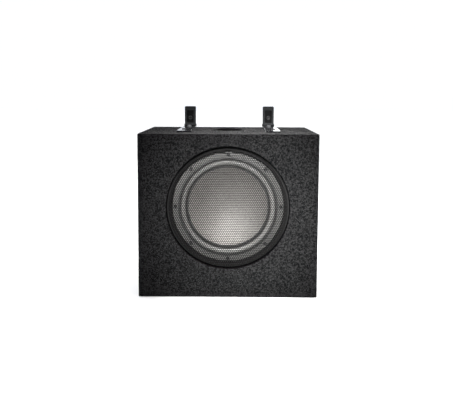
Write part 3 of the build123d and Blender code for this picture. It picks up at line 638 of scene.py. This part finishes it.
def feltFibre():
    # one short fibre, bowed and pointed at both ends
    length, width, lift = (carpet[k] * mm for k in ("fibreLength", "fibreWidth", "fibreLift"))
    bm = bmesh.new()
    tail = bm.verts.new((-length / 2, 0, -lift / 2))
    tip = bm.verts.new((length / 2, 0, lift / 4))
    ring = [bm.verts.new((0.1 * length, width / 2 * math.cos(a), lift + width / 2 * math.sin(a)))
            for a in (0, turn / 3, 2 * turn / 3)]
    for k in range(3):
        bm.faces.new((tail, ring[k], ring[(k + 1) % 3]))
        bm.faces.new((tip, ring[(k + 1) % 3], ring[k]))
    return closeMesh("felt_fibre", bm, 1e-8)


def fibreTree():
    tree, sockets = newTree("felt_fibres", [
        ("Fibre", "Object"), ("Density", "Float"), ("Seed", "Int"), ("Finish", "Material")])
    clumps = take(tree, "ShaderNodeTexNoise", {"Scale": 390.0, "Detail": 2.0})
    thickness = mapped(tree, clumps, 0.38, 0.62, 0.2, 1.8)
    density = sums(tree, "MULTIPLY", sockets["Density"], thickness)
    scatter = put(tree, "GeometryNodeDistributePointsOnFaces", {
        "Mesh": sockets["Geometry"], "Density": density, "Seed": sockets["Seed"]})
    lean = take(tree, "ShaderNodeCombineXYZ", {
        "Y": chance(tree, -0.25, 0.1, 7), "Z": chance(tree, 0.0, turn, sockets["Seed"])})
    spin = take(tree, "FunctionNodeEulerToRotation", {"Euler": lean})
    aim = take(tree, "FunctionNodeRotateRotation", {
        "Rotation": scatter.outputs["Rotation"], "Rotate By": spin}, rotation_space="LOCAL")
    laid = copies(tree, scatter.outputs["Points"], sockets["Fibre"], Rotation=aim,
                  Scale=chance(tree, 0.55, 1.25, 11))
    marked = take(tree, "GeometryNodeStoreNamedAttribute", {
        "Geometry": laid, "Name": "tone", "Value": chance(tree, 0.0, 1.0, 3)},
        data_type="FLOAT", domain="INSTANCE")
    endTree(tree, marked, sockets["Finish"])
    return tree


def fibreFinish():
    # each fibre has its own tone
    material = makeFinish("felt_fibre_finish", finishRecipes["carpet"])
    tree = material.node_tree
    ramp = next(n for n in tree.nodes if n.type == "VALTORGB")
    tree.links.new(put(tree, "ShaderNodeAttribute", attribute_name="tone").outputs["Fac"], ramp.inputs["Fac"])
    stops = ramp.color_ramp.elements
    stops[0].position, stops[1].position = 0.0, 1.0
    stops[0].color, stops[1].color = (0.0006, 0.0006, 0.0008, 1), (0.056, 0.056, 0.057, 1)
    stops.new(0.7).color = (0.0055, 0.0055, 0.0058, 1)
    return material


felt = fibreFinish()
fibres = fibreTree()
fibreSample = linked("fibre_sample", feltFibre())


def growFelt(name, zone, seed, share=(0, 1)):
    # share is the part of the zone's faces, from and to, that this piece covers
    faces = zone[int(len(zone) * share[0]):int(len(zone) * share[1])]
    host = bpy.data.meshes.new(name + "_skin")
    host.from_pydata([c for face in faces for c in face], [],
                     [tuple(range(4 * k, 4 * k + 4)) for k in range(len(faces))])
    mesh = grown(name, host, fibres, {
        "Fibre": fibreSample, "Density": float(carpet["fibresPerSquareMetre"]), "Seed": seed, "Finish": felt})
    piece = addPiece(name, mesh, "carpet")
    mesh.materials[0] = felt
    return piece


stripMesh, stripZones = buildWrap()
ampLow, ampHigh = corners("amp_housing")
room = carpet["ampHole"]
ampHole = [(ampLow.y - room, ampHigh.y + room), (ampLow.z - room, ampHigh.z + room)]
sideEnds = [(sideLow.y, sideHigh.y), (sideLow.z, sideHigh.z)]
leftMesh, leftZone = buildLid("carpet_side_left", sideLow.x, sideEnds, 0, -1)
rightMesh, rightZone = buildLid("carpet_side_right", sideHigh.x, sideEnds, 0, 1, ampHole)
baseLow, baseHigh = corners("carpet_base")
baseEnds = [(baseLow.x, baseHigh.x), (baseLow.y, baseHigh.y)]
baseMesh = buildLid("carpet_under", baseLow.z, baseEnds, 2, -1)[0]
strip, collar, sideLeft, sideRight, under = (
    addPiece(mesh.name, mesh, "carpet", nodes=[node], sharp=60)
    for mesh, node in ((stripMesh, "carpet_wrap"), (buildCollar(), "carpet_wrap"), (leftMesh, "carpet_left"),
                       (rightMesh, "carpet_right"), (baseMesh, "carpet_base")))
# the wall in the grille hole takes the darker felt: painted shade in the recess
collar.data.materials[0] = finishes["shaded_felt"]
halves = ((0, 0.5), (0.5, 1))
stripPile = [growFelt(f"pile_{zone}_{part + 1}", stripZones[zone], seed + 10 * part, share)
             for seed, zone in enumerate(("front", "top", "back"), 1) for part, share in enumerate(halves)]
leftPile, rightPile = ([growFelt(f"pile_{side}_{part + 1}", zone, seed + 10 * part, share)
                        for part, share in enumerate(halves)]
                       for side, zone, seed in (("left", leftZone, 4), ("right", rightZone, 5)))
print("carpet:", len(stripMesh.polygons), "faces on the strip")


# grille: a perforated disc, made by nodes, inside a drawn rim


grille = {"holeRadius": 1.5, "pitch": 3.8, "field": 110.9, "plate": 111.4,
          "thickness": 1.0, "rimSides": 240, "skirt": 1.0, "round": 1.2}


def holeCell():
    # one six-sided cell of the sheet with a round hole in it, flat
    corner = grille["pitch"] / math.sqrt(3) * mm
    hole = grille["holeRadius"] * mm
    cell = bpy.data.meshes.new("hole_cell")
    points = [(radius * math.cos(angle), radius * math.sin(angle), 0)
              for radius, count, offset in ((corner, 6, 0.5), (hole, 12, 0))
              for angle in (turn * (k + offset) / count for k in range(count))]
    faces = []
    for k in range(6):
        after, here, middle, there = (k + 1) % 6, 6 + 2 * k + 1, 6 + (2 * k + 2) % 12, 6 + (2 * k + 3) % 12
        faces += [(k, after, middle), (k, middle, here), (after, there, middle)]
    cell.from_pydata(points, [], faces)
    mark = cell.attributes.new("corner", "FLOAT", "POINT")
    mark.data.foreach_set("value", [1.0] * 6 + [0.0] * 12)
    return cell


def perforatedTree():
    tree, sockets = newTree("perforated_disc", [
        ("Cell", "Object"), ("Plate radius", "Float"), ("Field radius", "Float"), ("Pitch", "Float"),
        ("Rim sides", "Int"), ("Thickness", "Float"), ("Place", "Vector"), ("Finish", "Material")])
    across, down = 61, 36  # enough rows to cover the disc
    pitch = sockets["Pitch"]
    rowGap = sums(tree, "MULTIPLY", pitch, math.sqrt(3))
    rows = take(tree, "GeometryNodeMeshGrid", {
        "Size X": sums(tree, "MULTIPLY", pitch, across - 1.0), "Vertices X": across,
        "Size Y": sums(tree, "MULTIPLY", rowGap, down - 1.0), "Vertices Y": down})
    half = take(tree, "ShaderNodeCombineXYZ", {
        "X": sums(tree, "MULTIPLY", pitch, 0.5), "Y": sums(tree, "MULTIPLY", rowGap, 0.5)})
    between = take(tree, "GeometryNodeTransform", {"Geometry": rows, "Translation": half})
    away = put(tree, "ShaderNodeVectorMath", {0: take(tree, "GeometryNodeInputPosition")},
               operation="LENGTH").outputs["Value"]
    outside = take(tree, "FunctionNodeCompare", {
        0: sums(tree, "ADD", away, sums(tree, "MULTIPLY", pitch, 0.58)), 1: sockets["Field radius"]},
        data_type="FLOAT", operation="GREATER_THAN")
    kept = take(tree, "GeometryNodeDeleteGeometry", {
        "Geometry": together(tree, rows, between), "Selection": outside}, domain="POINT")
    field = welded(tree, take(tree, "GeometryNodeRealizeInstances", {
        "Geometry": copies(tree, kept, sockets["Cell"])}))
    # the plain margin between the last cells and the edge
    alone = take(tree, "FunctionNodeCompare", {2: take(tree, "GeometryNodeInputMeshEdgeNeighbors"), 3: 1},
                 data_type="INT", operation="EQUAL")
    marks = take(tree, "GeometryNodeInputNamedAttribute", {"Name": "corner"}, data_type="FLOAT")
    cornered = take(tree, "FunctionNodeCompare", {0: marks, 1: 0.9},
                    data_type="FLOAT", operation="GREATER_THAN")
    border = take(tree, "FunctionNodeBooleanMath", {0: alone, 1: cornered}, operation="AND")
    step = take(tree, "GeometryNodeMeshToCurve", {"Mesh": field, "Selection": border})
    edge = take(tree, "GeometryNodeCurvePrimitiveCircle", {
        "Resolution": sockets["Rim sides"], "Radius": sockets["Plate radius"]})
    margin = take(tree, "GeometryNodeFillCurve", {"Curve": together(tree, step, edge)}, mode="TRIANGLES")
    sheet = welded(tree, field, margin)
    raised = take(tree, "GeometryNodeExtrudeMesh", {
        "Mesh": sheet, "Offset Scale": sockets["Thickness"], "Individual": False}, mode="FACES")
    closed = welded(tree, raised, take(tree, "GeometryNodeFlipFaces", {"Mesh": sheet}))
    upright = take(tree, "GeometryNodeTransform", {
        "Geometry": closed, "Rotation": (math.radians(90), 0, 0), "Translation": sockets["Place"]})
    endTree(tree, upright, sockets["Finish"])
    return tree


grilleLow, grilleHigh = corners("grille")
grilleFront, grilleBack, grilleRadius = grilleLow.y, grilleHigh.y, grilleHigh.x
grilleInside = grilleFront + grille["thickness"]
cellSample = linked("cell_sample", holeCell())
disc = grown("grille_disc", pointMesh("grille_seed", [(0, 0, 0)]), perforatedTree(), {
    "Cell": cellSample, "Plate radius": grille["plate"] * mm, "Field radius": grille["field"] * mm,
    "Pitch": grille["pitch"] * mm,
    "Rim sides": grille["rimSides"], "Thickness": grille["thickness"] * mm,
    "Place": Vector((driverCentre.x, grilleInside, driverCentre.z)) * mm,
    "Finish": finishes["grille_paint"]})
bpy.data.objects.remove(cellSample)
lap, skirtInside = grille["plate"] - 0.02, grilleRadius - grille["skirt"]
rimOutline = softened([
    (lap, grilleFront), (grilleRadius, grilleFront), (grilleRadius, grilleBack), (skirtInside, grilleBack),
    (skirtInside, grilleInside), (lap, grilleInside)], [0, grille["round"], 0.2, 0.2, 0.2, 0], 5)
for mesh in (disc, turned("grille_rim", rimOutline, "y", driverCentre, grille["rimSides"])):
    addPiece(mesh.name, mesh, "grille_paint", nodes=["grille"], sharp=40)
print("grille:", sum(len(p.vertices) - 2 for p in disc.polygons), "triangles")


# driver: surround, cone and the moving pieces behind it


surround = {"rollCentre": 85.0, "rollHeight": -98.6, "outer": 7.1, "inner": 5.9, "sectors": 24, "steps": 5,
            "lipOuter": 95.5, "lipInner": 75.25, "lipFront": -99.2, "lipBack": -98.0,
            "blendOuter": 91.5, "blendInner": 78.5}


def rollOutline():
    s = surround
    middle, outer, inner = s["rollCentre"], s["outer"], s["inner"]
    front, back = s["lipFront"], s["lipBack"]
    arcs = [[(middle + size * math.cos(a), s["rollHeight"] - size * math.sin(a))
             for a in (math.radians(d) for d in range(6, 175, 8))] for size in (outer, inner)]
    return ([(s["lipOuter"], front)] + arcs[0] + [(s["lipInner"], front), (s["lipInner"], back)]
            + [(middle - inner, back)] + arcs[1][::-1] + [(middle + inner, back), (s["lipOuter"], back)])


def flexible(name, mesh, node, outside, inside, sharp=50):
    # a piece between frame and cone, left unattached, with its placement baked into the mesh
    piece = addPiece(name, mesh, slotOf[node], nodes=[node], sharp=sharp, riding=False)
    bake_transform(piece)


def flexRing(node, outline, outerRadius, innerRadius, height, sectors, steps):
    # a ring that stretches between frame and cone is cut in sectors, one piece each
    for index in range(sectors):
        middle = turn * (index + 0.5) / sectors
        mesh = turned(f"{node}_{index + 1:02d}", outline, "y", driverCentre, steps,
                      turn * index / sectors, turn / sectors)
        flexible(mesh.name, mesh, node, *((math.sin(middle) * r, height, math.cos(middle) * r)
                                          for r in (outerRadius, innerRadius)))


flexRing("surround", rollOutline(), surround["blendOuter"], surround["blendInner"],
         surround["rollHeight"], surround["sectors"], surround["steps"])

spider = {"outer": 69.9, "flat": 59.5, "hub": 25.5, "hubFlat": 31.0, "middle": -66.35, "wave": 1.6,
          "waves": 5, "cloth": 0.5, "points": 60, "sectors": 16, "steps": 8}


def spiderOutline():
    s = spider
    front, back = [], []
    for step in range(s["points"] + 1):
        radius = s["hub"] + (s["outer"] - s["hub"]) * step / s["points"]
        share = max(0, min(1, (radius - s["hubFlat"]) / (s["flat"] - s["hubFlat"])))
        lift = s["wave"] * math.sin(share * s["waves"] * turn)
        front.append((radius, s["middle"] + lift - s["cloth"] / 2))
        back.append((radius, s["middle"] + lift + s["cloth"] / 2))
    return front + back[::-1]


flexRing("spider", spiderOutline(), spider["flat"], spider["hubFlat"],
         spider["middle"], spider["sectors"], spider["steps"])

# leads of twisted threads from the terminals to the cone, by way of listed points
tinsel = {"radius": 0.75, "lobes": 3, "lobe": 0.22, "sides": 12, "twist": 2.4, "steps": 26,
          "path": [(75.8, -93.6, 7.0), (80.5, -71.0, 7.2), (69.0, -79.5, 7.6), (53.0, -76.5, 7.9),
                   (39.5, -79.5, 8.0)],
          "blendOuter": 72.0, "blendInner": 44.0}


def strandPath(points, steps):
    # a smooth line through the points
    line = []
    ends = [2 * points[0] - points[1], *points, 2 * points[-1] - points[-2]]
    for a, b, c, d in zip(ends, ends[1:], ends[2:], ends[3:]):
        for step in range(steps):
            t = step / steps
            line.append((2 * b + (c - a) * t + (2 * a - 5 * b + 4 * c - d) * t ** 2
                         + (3 * b - a - 3 * c + d) * t ** 3) / 2)
    return line + [points[-1]]


def strand(name, side):
    # a lobed section that turns as it goes, like twisted threads; side is +1 above the axis, -1 below
    t = tinsel
    line = strandPath([Vector((x, y, side * z)) + driverCentre for x, y, z in t["path"]], t["steps"])
    bm = bmesh.new()
    rings = []
    across = Vector((0, 0, 1))
    for k, point in enumerate(line):
        way = (line[min(k + 1, len(line) - 1)] - line[max(k - 1, 0)]).normalized()
        across = (across - way * across.dot(way)).normalized()
        other = way.cross(across)
        ring = []
        for a in range(t["sides"]):
            angle = turn * a / t["sides"]
            size = t["radius"] * (1 - t["lobe"] + t["lobe"] * math.cos(t["lobes"] * angle + k * t["twist"]))
            spoke = across * math.cos(angle) + other * math.sin(angle)
            ring.append(bm.verts.new((point + spoke * size) * mm))
        rings.append(ring)
    for one, two in zip(rings, rings[1:]):
        for a in range(t["sides"]):
            b = (a + 1) % t["sides"]
            bm.faces.new((one[a], one[b], two[b], two[a]))
    bm.faces.new(rings[0][::-1])
    bm.faces.new(rings[-1])
    return closeMesh(name, bm, 1e-8)


for name, side in (("tinsel_lead_upper", 1), ("tinsel_lead_lower", -1)):
    flexible(name, strand(name, side), "tinsel_leads",
             (tinsel["blendOuter"], 0, 0), (tinsel["blendInner"], 0, 0), sharp=35)

cone = {"depth": -82.0, "edge": 75.5, "edgeHeight": -98.0, "sphere": 186.1, "rim": 78.3, "wall": 1.3,
        "rings": 44, "steps": 180}


def coneOutline():
    c = cone
    centre = c["depth"] - c["sphere"]
    front = []
    for step in range(c["rings"] + 1):
        radius = c["edge"] * step / c["rings"]
        front.append((radius, centre + math.sqrt(c["sphere"] ** 2 - radius ** 2)))
    back = [(r, h + c["wall"]) for r, h in front]
    front.append((c["rim"], c["edgeHeight"] + 0.02))
    back.append((c["rim"], c["edgeHeight"] + c["wall"]))
    return front + back[::-1]


coneMesh = turned("cone_dish", coneOutline(), "y", driverCentre, cone["steps"])
addPiece("cone_dish", coneMesh, "cone_skin", "cone_assembly", ["cone"])
trimmed("basket", "driver_frame", 0.5)
print("driver: surround, spider, cone")


# port: a flared tube


port = {"throat": 25.0, "outer": 27.5, "mouth": 30.6, "flange": portHigh.x, "bottom": portLow.z,
        "under": boxHigh.z, "top": portHigh.z, "flare": 16.0}


def portOutline():
    throat, outer, mouth, flange, bottom, under, top, flare = port.values()
    flareTop = [(throat + (mouth - throat) * (1 - math.cos(a)), top - flare * (1 - math.sin(a)))
                for a in (math.radians(d) for d in range(0, 91, 9))]
    lip = softened([(outer, under), (flange, under), (flange, top), (mouth, top)], [0, 0.3, 0.8, 0.0], 5)
    return lip[:-1] + flareTop[::-1] + [(throat, bottom + 1), (throat + 1, bottom),
                                        (outer - 0.4, bottom), (outer, bottom + 0.4)]


portMesh = turned("port_flare", portOutline(), "z", portCentre, 144)
addPiece("port_flare", portMesh, "port_plastic", nodes=["port_tube"])
print("port")


# screws: one head shape per kind, set on their seats by nodes


def driveShape(size, cross):
    # a ring inside this radius follows a cross slot or a hexagon
    def shape(r, h, angle):
        if r > size + 1e-6 or r < 1e-6:
            return r
        if cross:
            return r * (0.34 + 0.66 * abs(math.cos(2 * angle)) ** 5)
        return r * math.cos(math.pi / 6) / math.cos((angle % (turn / 6)) - math.pi / 6)
    return shape


def screwMesh(name, kind):
    # head seat at height 0, the head above it and the shank below
    r, h, drive, deep, shank, length, edge = (
        kind[k] for k in ("head", "height", "drive", "deep", "shank", "length", "dome"))
    outline = [(0, -length), (shank * 0.6, -length), (shank, -length + shank * 0.5), (shank, 0), (r, 0)]
    outline += [(r - edge * kind.get("crown", 1) * (1 - math.cos(a)), h - edge + edge * math.sin(a))
                for a in (math.radians(d) for d in (0, 30, 60, 90))]
    outline += [(drive + 0.25, h), (drive, h - 0.15), (drive, h - deep), (0, h - deep * 1.1)]
    return turned(name, outline, "z", (0, 0, 0), 48, shape=driveShape(drive, kind.get("cross")))


def screwTree():
    tree, sockets = newTree("screws", [
        ("Screw", "Object"), ("Outward", "Vector"), ("Seed", "Int"), ("Finish", "Material")])
    spin = take(tree, "FunctionNodeAxisAngleToRotation", {
        "Axis": (0, 0, 1), "Angle": chance(tree, 0.0, turn, sockets["Seed"])})
    aim = take(tree, "FunctionNodeAlignRotationToVector", {"Vector": sockets["Outward"]}, axis="Z")
    both = take(tree, "FunctionNodeRotateRotation", {"Rotation": aim, "Rotate By": spin},
                rotation_space="LOCAL")
    endTree(tree, copies(tree, sockets["Geometry"], sockets["Screw"], Rotation=both), sockets["Finish"])
    return tree


screwsOnSeats = screwTree()


def setScrews(node, name, kind, seats, outward, seed):
    sample = linked(name + "_sample", screwMesh(name + "_shape", kind))
    mesh = grown(name, pointMesh(name + "_seats", seats), screwsOnSeats, {
        "Screw": sample, "Outward": Vector(outward), "Seed": seed, "Finish": finishes[slotOf[node]]})
    bpy.data.objects.remove(sample)
    addPiece(name, mesh, slotOf[node], nodes=[node], sharp=32)


screws = {
    "driver": {"head": 3.7, "height": 2.4, "drive": 1.6, "deep": 1.4, "shank": 2.0, "length": 14,
               "dome": 1.1},
    "amp": {"head": 3.3, "height": 2.2, "drive": 1.7, "deep": 1.2, "shank": 1.6, "length": 15.8, "dome": 1.4,
            "crown": 1.4, "cross": True},
    "bolt": {"head": 4.4, "height": 3.6, "drive": 2.3, "deep": 2.0, "shank": 2.95, "length": 21, "dome": 0.5},
    "wood": {"head": 4.0, "height": 1.8, "drive": 2.1, "deep": 1.1, "shank": 2.0, "length": 18, "dome": 1.2,
             "crown": 1.6, "cross": True},
    "cap": {"head": 4.2, "height": 2.8, "drive": 2.0, "deep": 1.4, "shank": 2.5, "length": 26, "dome": 1.6,
            "crown": 1.3},
}
seating = {"driverCircle": 100.5, "driverFace": -98.0, "ampFace": 173.0, "ampAcross": 70.2, "ampHigh": 110.2,
           "ampMiddle": 37.0, "bolt": (87.3, 109.5, 333), "wood": (91, -18, 315), "cap": (87.3, 87, 315)}
plateMiddle = middleOf("amp_plate")
circle = seating["driverCircle"]
driverSeats = [(circle * math.sin(a), seating["driverFace"], driverCentre.z + circle * math.cos(a))
               for a in (turn * k / 8 for k in range(8))]
tall, middle, across = (seating[k] for k in ("ampHigh", "ampMiddle", "ampAcross"))
offsets = [(dy, dz) for dy in (-across, across) for dz in (-tall, -middle, middle, tall)]
ampSeats = [(seating["ampFace"], plateMiddle.y + dy, plateMiddle.z + dz)
            for dy, dz in offsets + [(0, -tall), (0, tall)]]
boltSeats, woodSeats, capSeats = ([(side * x, y, z) for side in (-1, 1)]
                                  for x, y, z in (seating[k] for k in ("bolt", "wood", "cap")))
for seed, (node, name, kind, seats, outward) in enumerate((
    ("driver_screws", "driver_screw_set", "driver", driverSeats, (0, -1, 0)),
    ("amp_screws", "amp_screw_set", "amp", ampSeats, (1, 0, 0)),
    ("bracket_bolts", "pocket_bolts", "bolt", boltSeats, (0, -1, 0)),
    ("bracket_wood_screws", "bracket_front_screws", "wood", woodSeats, (0, 0, 1)),
    ("bracket_cap_screws", "bracket_rear_screws", "cap", capSeats, (0, 0, 1)),
), 21):
    setScrews(node, name, screws[kind], seats, outward, seed)
print("screws")


# brackets and their clamp pads


for side in ("left", "right"):
    trimmed("bracket_" + side, "bracket_steel_" + side, 0.45, 3)
    trimmed("clamp_pad_" + side, "clamp_block_" + side, 0.5, 3)
print("brackets")


# amplifier: plate, controls, sockets and what is on the board


for node, name, bevel in (
    ("amp_plate", "amp_heatsink", 0.35), ("amp_gasket", "amp_seal", 0.3), ("amp_housing", "amp_tray", 0.4),
    ("terminal_block", "power_terminals", 0.35), ("fuse_holder", "fuse_socket", 0.35),
    ("blade_fuses", "fuse_pair", 0.3), ("level_socket", "speaker_level_socket", 0.3),
    ("remote_socket", "remote_plug_socket", 0.3), ("circuit_board", "board", 0.2),
    ("power_transistors", "transistor_row", 0.25), ("grille_ring", "grille_seat", 0.3),
):
    trimmed(node, name, bevel)
trimmed("phase_slider", "phase_switch_tab", 0.3, body="phase_switch")
trimmed("input_slider", "input_switch_tab", 0.3, body="input_switch")

knob = {"grip": 6.5, "front": 180.0, "back": 173.6, "shaft": 3.0, "shaftBack": 151.0, "ribs": 24,
        "ribRadius": 0.42, "round": 0.8, "cup": 4.6, "cupDepth": 0.5}


def knurlTree():
    tree, sockets = newTree("knob_ribs", [
        ("Rib", "Object"), ("Ribs", "Int"), ("Radius", "Float"), ("Centre", "Vector"),
        ("Finish", "Material")])
    circle = take(tree, "GeometryNodeMeshCircle", {"Vertices": sockets["Ribs"], "Radius": sockets["Radius"]})
    upright = take(tree, "GeometryNodeTransform", {
        "Geometry": circle, "Rotation": (0, math.radians(90), 0), "Translation": sockets["Centre"]})
    whole = together(tree, sockets["Geometry"], copies(tree, upright, sockets["Rib"]))
    endTree(tree, whole, sockets["Finish"])
    return tree


knurls = knurlTree()
ribBack, ribFront, ribTip = knob["back"] + 0.2, knob["front"] - 1.2, knob["front"] - 0.7
ribSample = linked("rib_sample", turned(
    "rib_shape", [(0, ribBack), (knob["ribRadius"], ribBack), (knob["ribRadius"], ribFront), (0, ribTip)],
    "x", (0, 0, 0), 8))


def makeKnob(node, name, body):
    k = knob
    centre = middleOf(node)
    centre.x = 0
    grip, cupFloor = k["grip"] - k["ribRadius"], k["front"] - k["cupDepth"]
    outline = softened([
        (0.0, k["shaftBack"]), (k["shaft"], k["shaftBack"]), (k["shaft"], k["back"]), (grip, k["back"]),
        (grip, k["front"]), (k["cup"] + 0.4, k["front"]), (k["cup"], cupFloor), (0.0, cupFloor)],
        [0, 0.3, 0, 0.2, k["round"], 0.2, 0.3, 0])
    mesh = grown(name, turned(name + "_body", outline, "x", centre, 72), knurls, {
        "Rib": ribSample, "Ribs": k["ribs"], "Radius": grip * mm, "Centre": centre * mm,
        "Finish": finishes["knob_plastic"]})
    addPiece(name, mesh, "knob_plastic", body, [node], sharp=35)
    mark = block(name + "_mark", (cupFloor - 0.1, centre.y - 0.4, centre.z + 0.8),
                 (k["front"] - 0.02, centre.y + 0.4, centre.z + k["grip"] - 0.9), 0.12)
    addPiece(name + "_pointer", mark, "knob_plastic", body)
    mark.materials[0] = markPaint


markPaint = makeFinish("mark_paint", dict(
    tones=((0.62, 0.62, 0.60), (0.78, 0.78, 0.76)), spots=("noise", 900), rough=(0.4, 0.55),
    relief=[(0.02, "noise", 1800)]))
controls = ("gain", "lowpass", "bass")
for control in controls:
    makeKnob(control + "_knob", control + "_dial", control + "_control")
bpy.data.objects.remove(ribSample)

dial = {"ticks": 11, "radius": 9.6, "sweep": 270.0, "length": 1.8, "width": 0.4, "raise": 0.12}


def dialTree():
    tree, sockets = newTree("dial_ticks", [
        ("Tick", "Object"), ("Ticks", "Int"), ("Sweep", "Float"), ("Radius", "Float"),
        ("Finish", "Material")])
    share = sums(tree, "DIVIDE", take(tree, "GeometryNodeInputIndex"),
                 sums(tree, "SUBTRACT", sockets["Ticks"], 1.0))
    angle = sums(tree, "MULTIPLY", sums(tree, "SUBTRACT", share, 0.5), sockets["Sweep"])
    outY, outZ = (sums(tree, "MULTIPLY", sums(tree, wave, angle), sockets["Radius"])
                  for wave in ("SINE", "COSINE"))
    arc = take(tree, "GeometryNodeSetPosition", {
        "Geometry": take(tree, "GeometryNodeMeshLine", {"Count": sockets["Ticks"]}),
        "Position": take(tree, "ShaderNodeCombineXYZ", {"Y": outY, "Z": outZ})})
    lean = take(tree, "FunctionNodeAxisAngleToRotation", {
        "Axis": (1, 0, 0), "Angle": sums(tree, "MULTIPLY", angle, -1.0)})
    ticks = take(tree, "GeometryNodeGeometryToInstance", {
        "Geometry": copies(tree, arc, sockets["Tick"], Rotation=lean)})
    dials = take(tree, "GeometryNodeInstanceOnPoints", {"Points": sockets["Geometry"], "Instance": ticks})
    endTree(tree, dials, sockets["Finish"])
    return tree


tickWide, tickLong = dial["width"] / 2, dial["length"] / 2
tickSample = linked("tick_sample", block(
    "tick_shape", (-0.02, -tickWide, -tickLong), (dial["raise"], tickWide, tickLong), 0.04))
dialCentres = [(seating["ampFace"], *middleOf(control + "_knob").yz) for control in controls]
tickMesh = grown("dial_ticks", pointMesh("dial_centres", dialCentres), dialTree(), {
    "Tick": tickSample, "Ticks": dial["ticks"], "Sweep": math.radians(dial["sweep"]),
    "Radius": dial["radius"] * mm, "Finish": markPaint})
bpy.data.objects.remove(tickSample)
addPiece("dial_ticks", tickMesh, "knob_plastic")
tickMesh.materials[0] = markPaint
print("amplifier")
bpy.data.objects.remove(fibreSample)


# floor, light and camera


stageLook = {"floor": 12.0, "floorTone": 0.88, "sky": 1.05, "roomDim": 0.10, "roomBright": 1.0}
floorMesh = bpy.data.meshes.new("floor")
reach = stageLook["floor"]
ways = ((-1, -1), (1, -1), (1, 1), (-1, 1))
floorMesh.from_pydata([(reach * x, reach * y, 0) for x, y in ways], [], [(0, 1, 2, 3)])
floor = linked("floor", floorMesh)
floor.location.z = cadLow.z - 0.0003
floorPaint = bpy.data.materials.new("pale_floor")
floorPaint.use_nodes = True
floorShader = floorPaint.node_tree.nodes["Principled BSDF"]
floorShader.inputs["Base Color"].default_value = (*[stageLook["floorTone"]] * 3, 1)
floorShader.inputs["Roughness"].default_value = 0.9
floorMesh.materials.append(floorPaint)

sky = bpy.data.worlds.new("pale_room")
scene.world = sky
sky.use_nodes = True
room = sky.node_tree
backdrop = room.nodes["Background"]
backdrop.inputs["Color"].default_value = (0.955, 0.982, 1.04, 1)
# the room is bright behind the object and dimmer behind the viewer, with a plain white backdrop
towards = put(room, "ShaderNodeSeparateXYZ", {0: take(room, "ShaderNodeTexCoord")}).outputs["Y"]
brightness = mapped(room, towards, -0.3, 0.8, stageLook["roomDim"], stageLook["roomBright"])
direct = put(room, "ShaderNodeLightPath").outputs["Is Camera Ray"]
room.links.new(take(room, "ShaderNodeMix", {0: direct, 2: brightness, 3: stageLook["sky"]}),
               backdrop.inputs["Strength"])

lamps = {
    "sun": {"kind": "SUN", "at": (0.0, -0.02, 2.0), "angle": 40, "power": 3.0},
    "spot": {"kind": "SPOT", "at": (-0.03, -1.65, 0.76), "to": (0.050, 0, 0.122),
             "cone": 14.8, "size": 0.12, "power": 1270, "tint": (1.0, 0.99, 0.975)},
    "side": {"kind": "AREA", "at": (1.7, 0.2, 0.9), "size": 1.0, "power": 8},
    "left": {"kind": "AREA", "at": (-1.7, 0.5, 0.8), "size": 1.0, "power": 9},
    "back": {"kind": "AREA", "at": (0.3, 1.8, 0.9), "size": 1.0, "power": 14},
}
for name, lamp in lamps.items():
    light = bpy.data.lights.new(name, lamp["kind"])
    light.energy, light.color = lamp["power"], lamp.get("tint", (1.0, 1.0, 1.0))
    if lamp["kind"] == "SUN":
        light.angle = math.radians(lamp["angle"])
    elif lamp["kind"] == "SPOT":
        light.spot_size, light.spot_blend = math.radians(lamp["cone"]), 1.0
        light.shadow_soft_size = lamp["size"]
    else:
        light.shape, light.size = "DISK", lamp["size"]
    holder = linked(name, light)
    holder.location = lamp["at"]
    aim = Vector(lamp.get("to", (0, 0, 0.15))) - holder.location
    holder.rotation_mode = "QUATERNION"
    holder.rotation_quaternion = aim.to_track_quat("-Z", "Y")

cameraLook = {"at": (0.0103, -1.1841, 0.3865), "yaw": -0.72, "down": 4.99, "roll": 0.24, "lens": 45.81,
              "shift": -0.13}
cameraData = bpy.data.cameras.new("camera")
cameraData.lens, cameraData.shift_y, cameraData.sensor_width = cameraLook["lens"], cameraLook["shift"], 36
camera = linked("camera", cameraData)
yaw, down, roll = (math.radians(cameraLook[k]) for k in ("yaw", "down", "roll"))
forward = Vector((math.sin(yaw) * math.cos(down), math.cos(yaw) * math.cos(down), -math.sin(down)))
right = Vector((math.cos(yaw), -math.sin(yaw), 0))
upward = right.cross(forward)
rightward = right * math.cos(roll) + upward * math.sin(roll)
upward = upward * math.cos(roll) - right * math.sin(roll)
turning = Matrix((rightward, upward, -forward)).transposed().to_4x4()
camera.matrix_world = Matrix.Translation(cameraLook["at"]) @ turning
scene.camera = camera
scene.view_settings.view_transform = "Standard"
print("floor, light and camera")
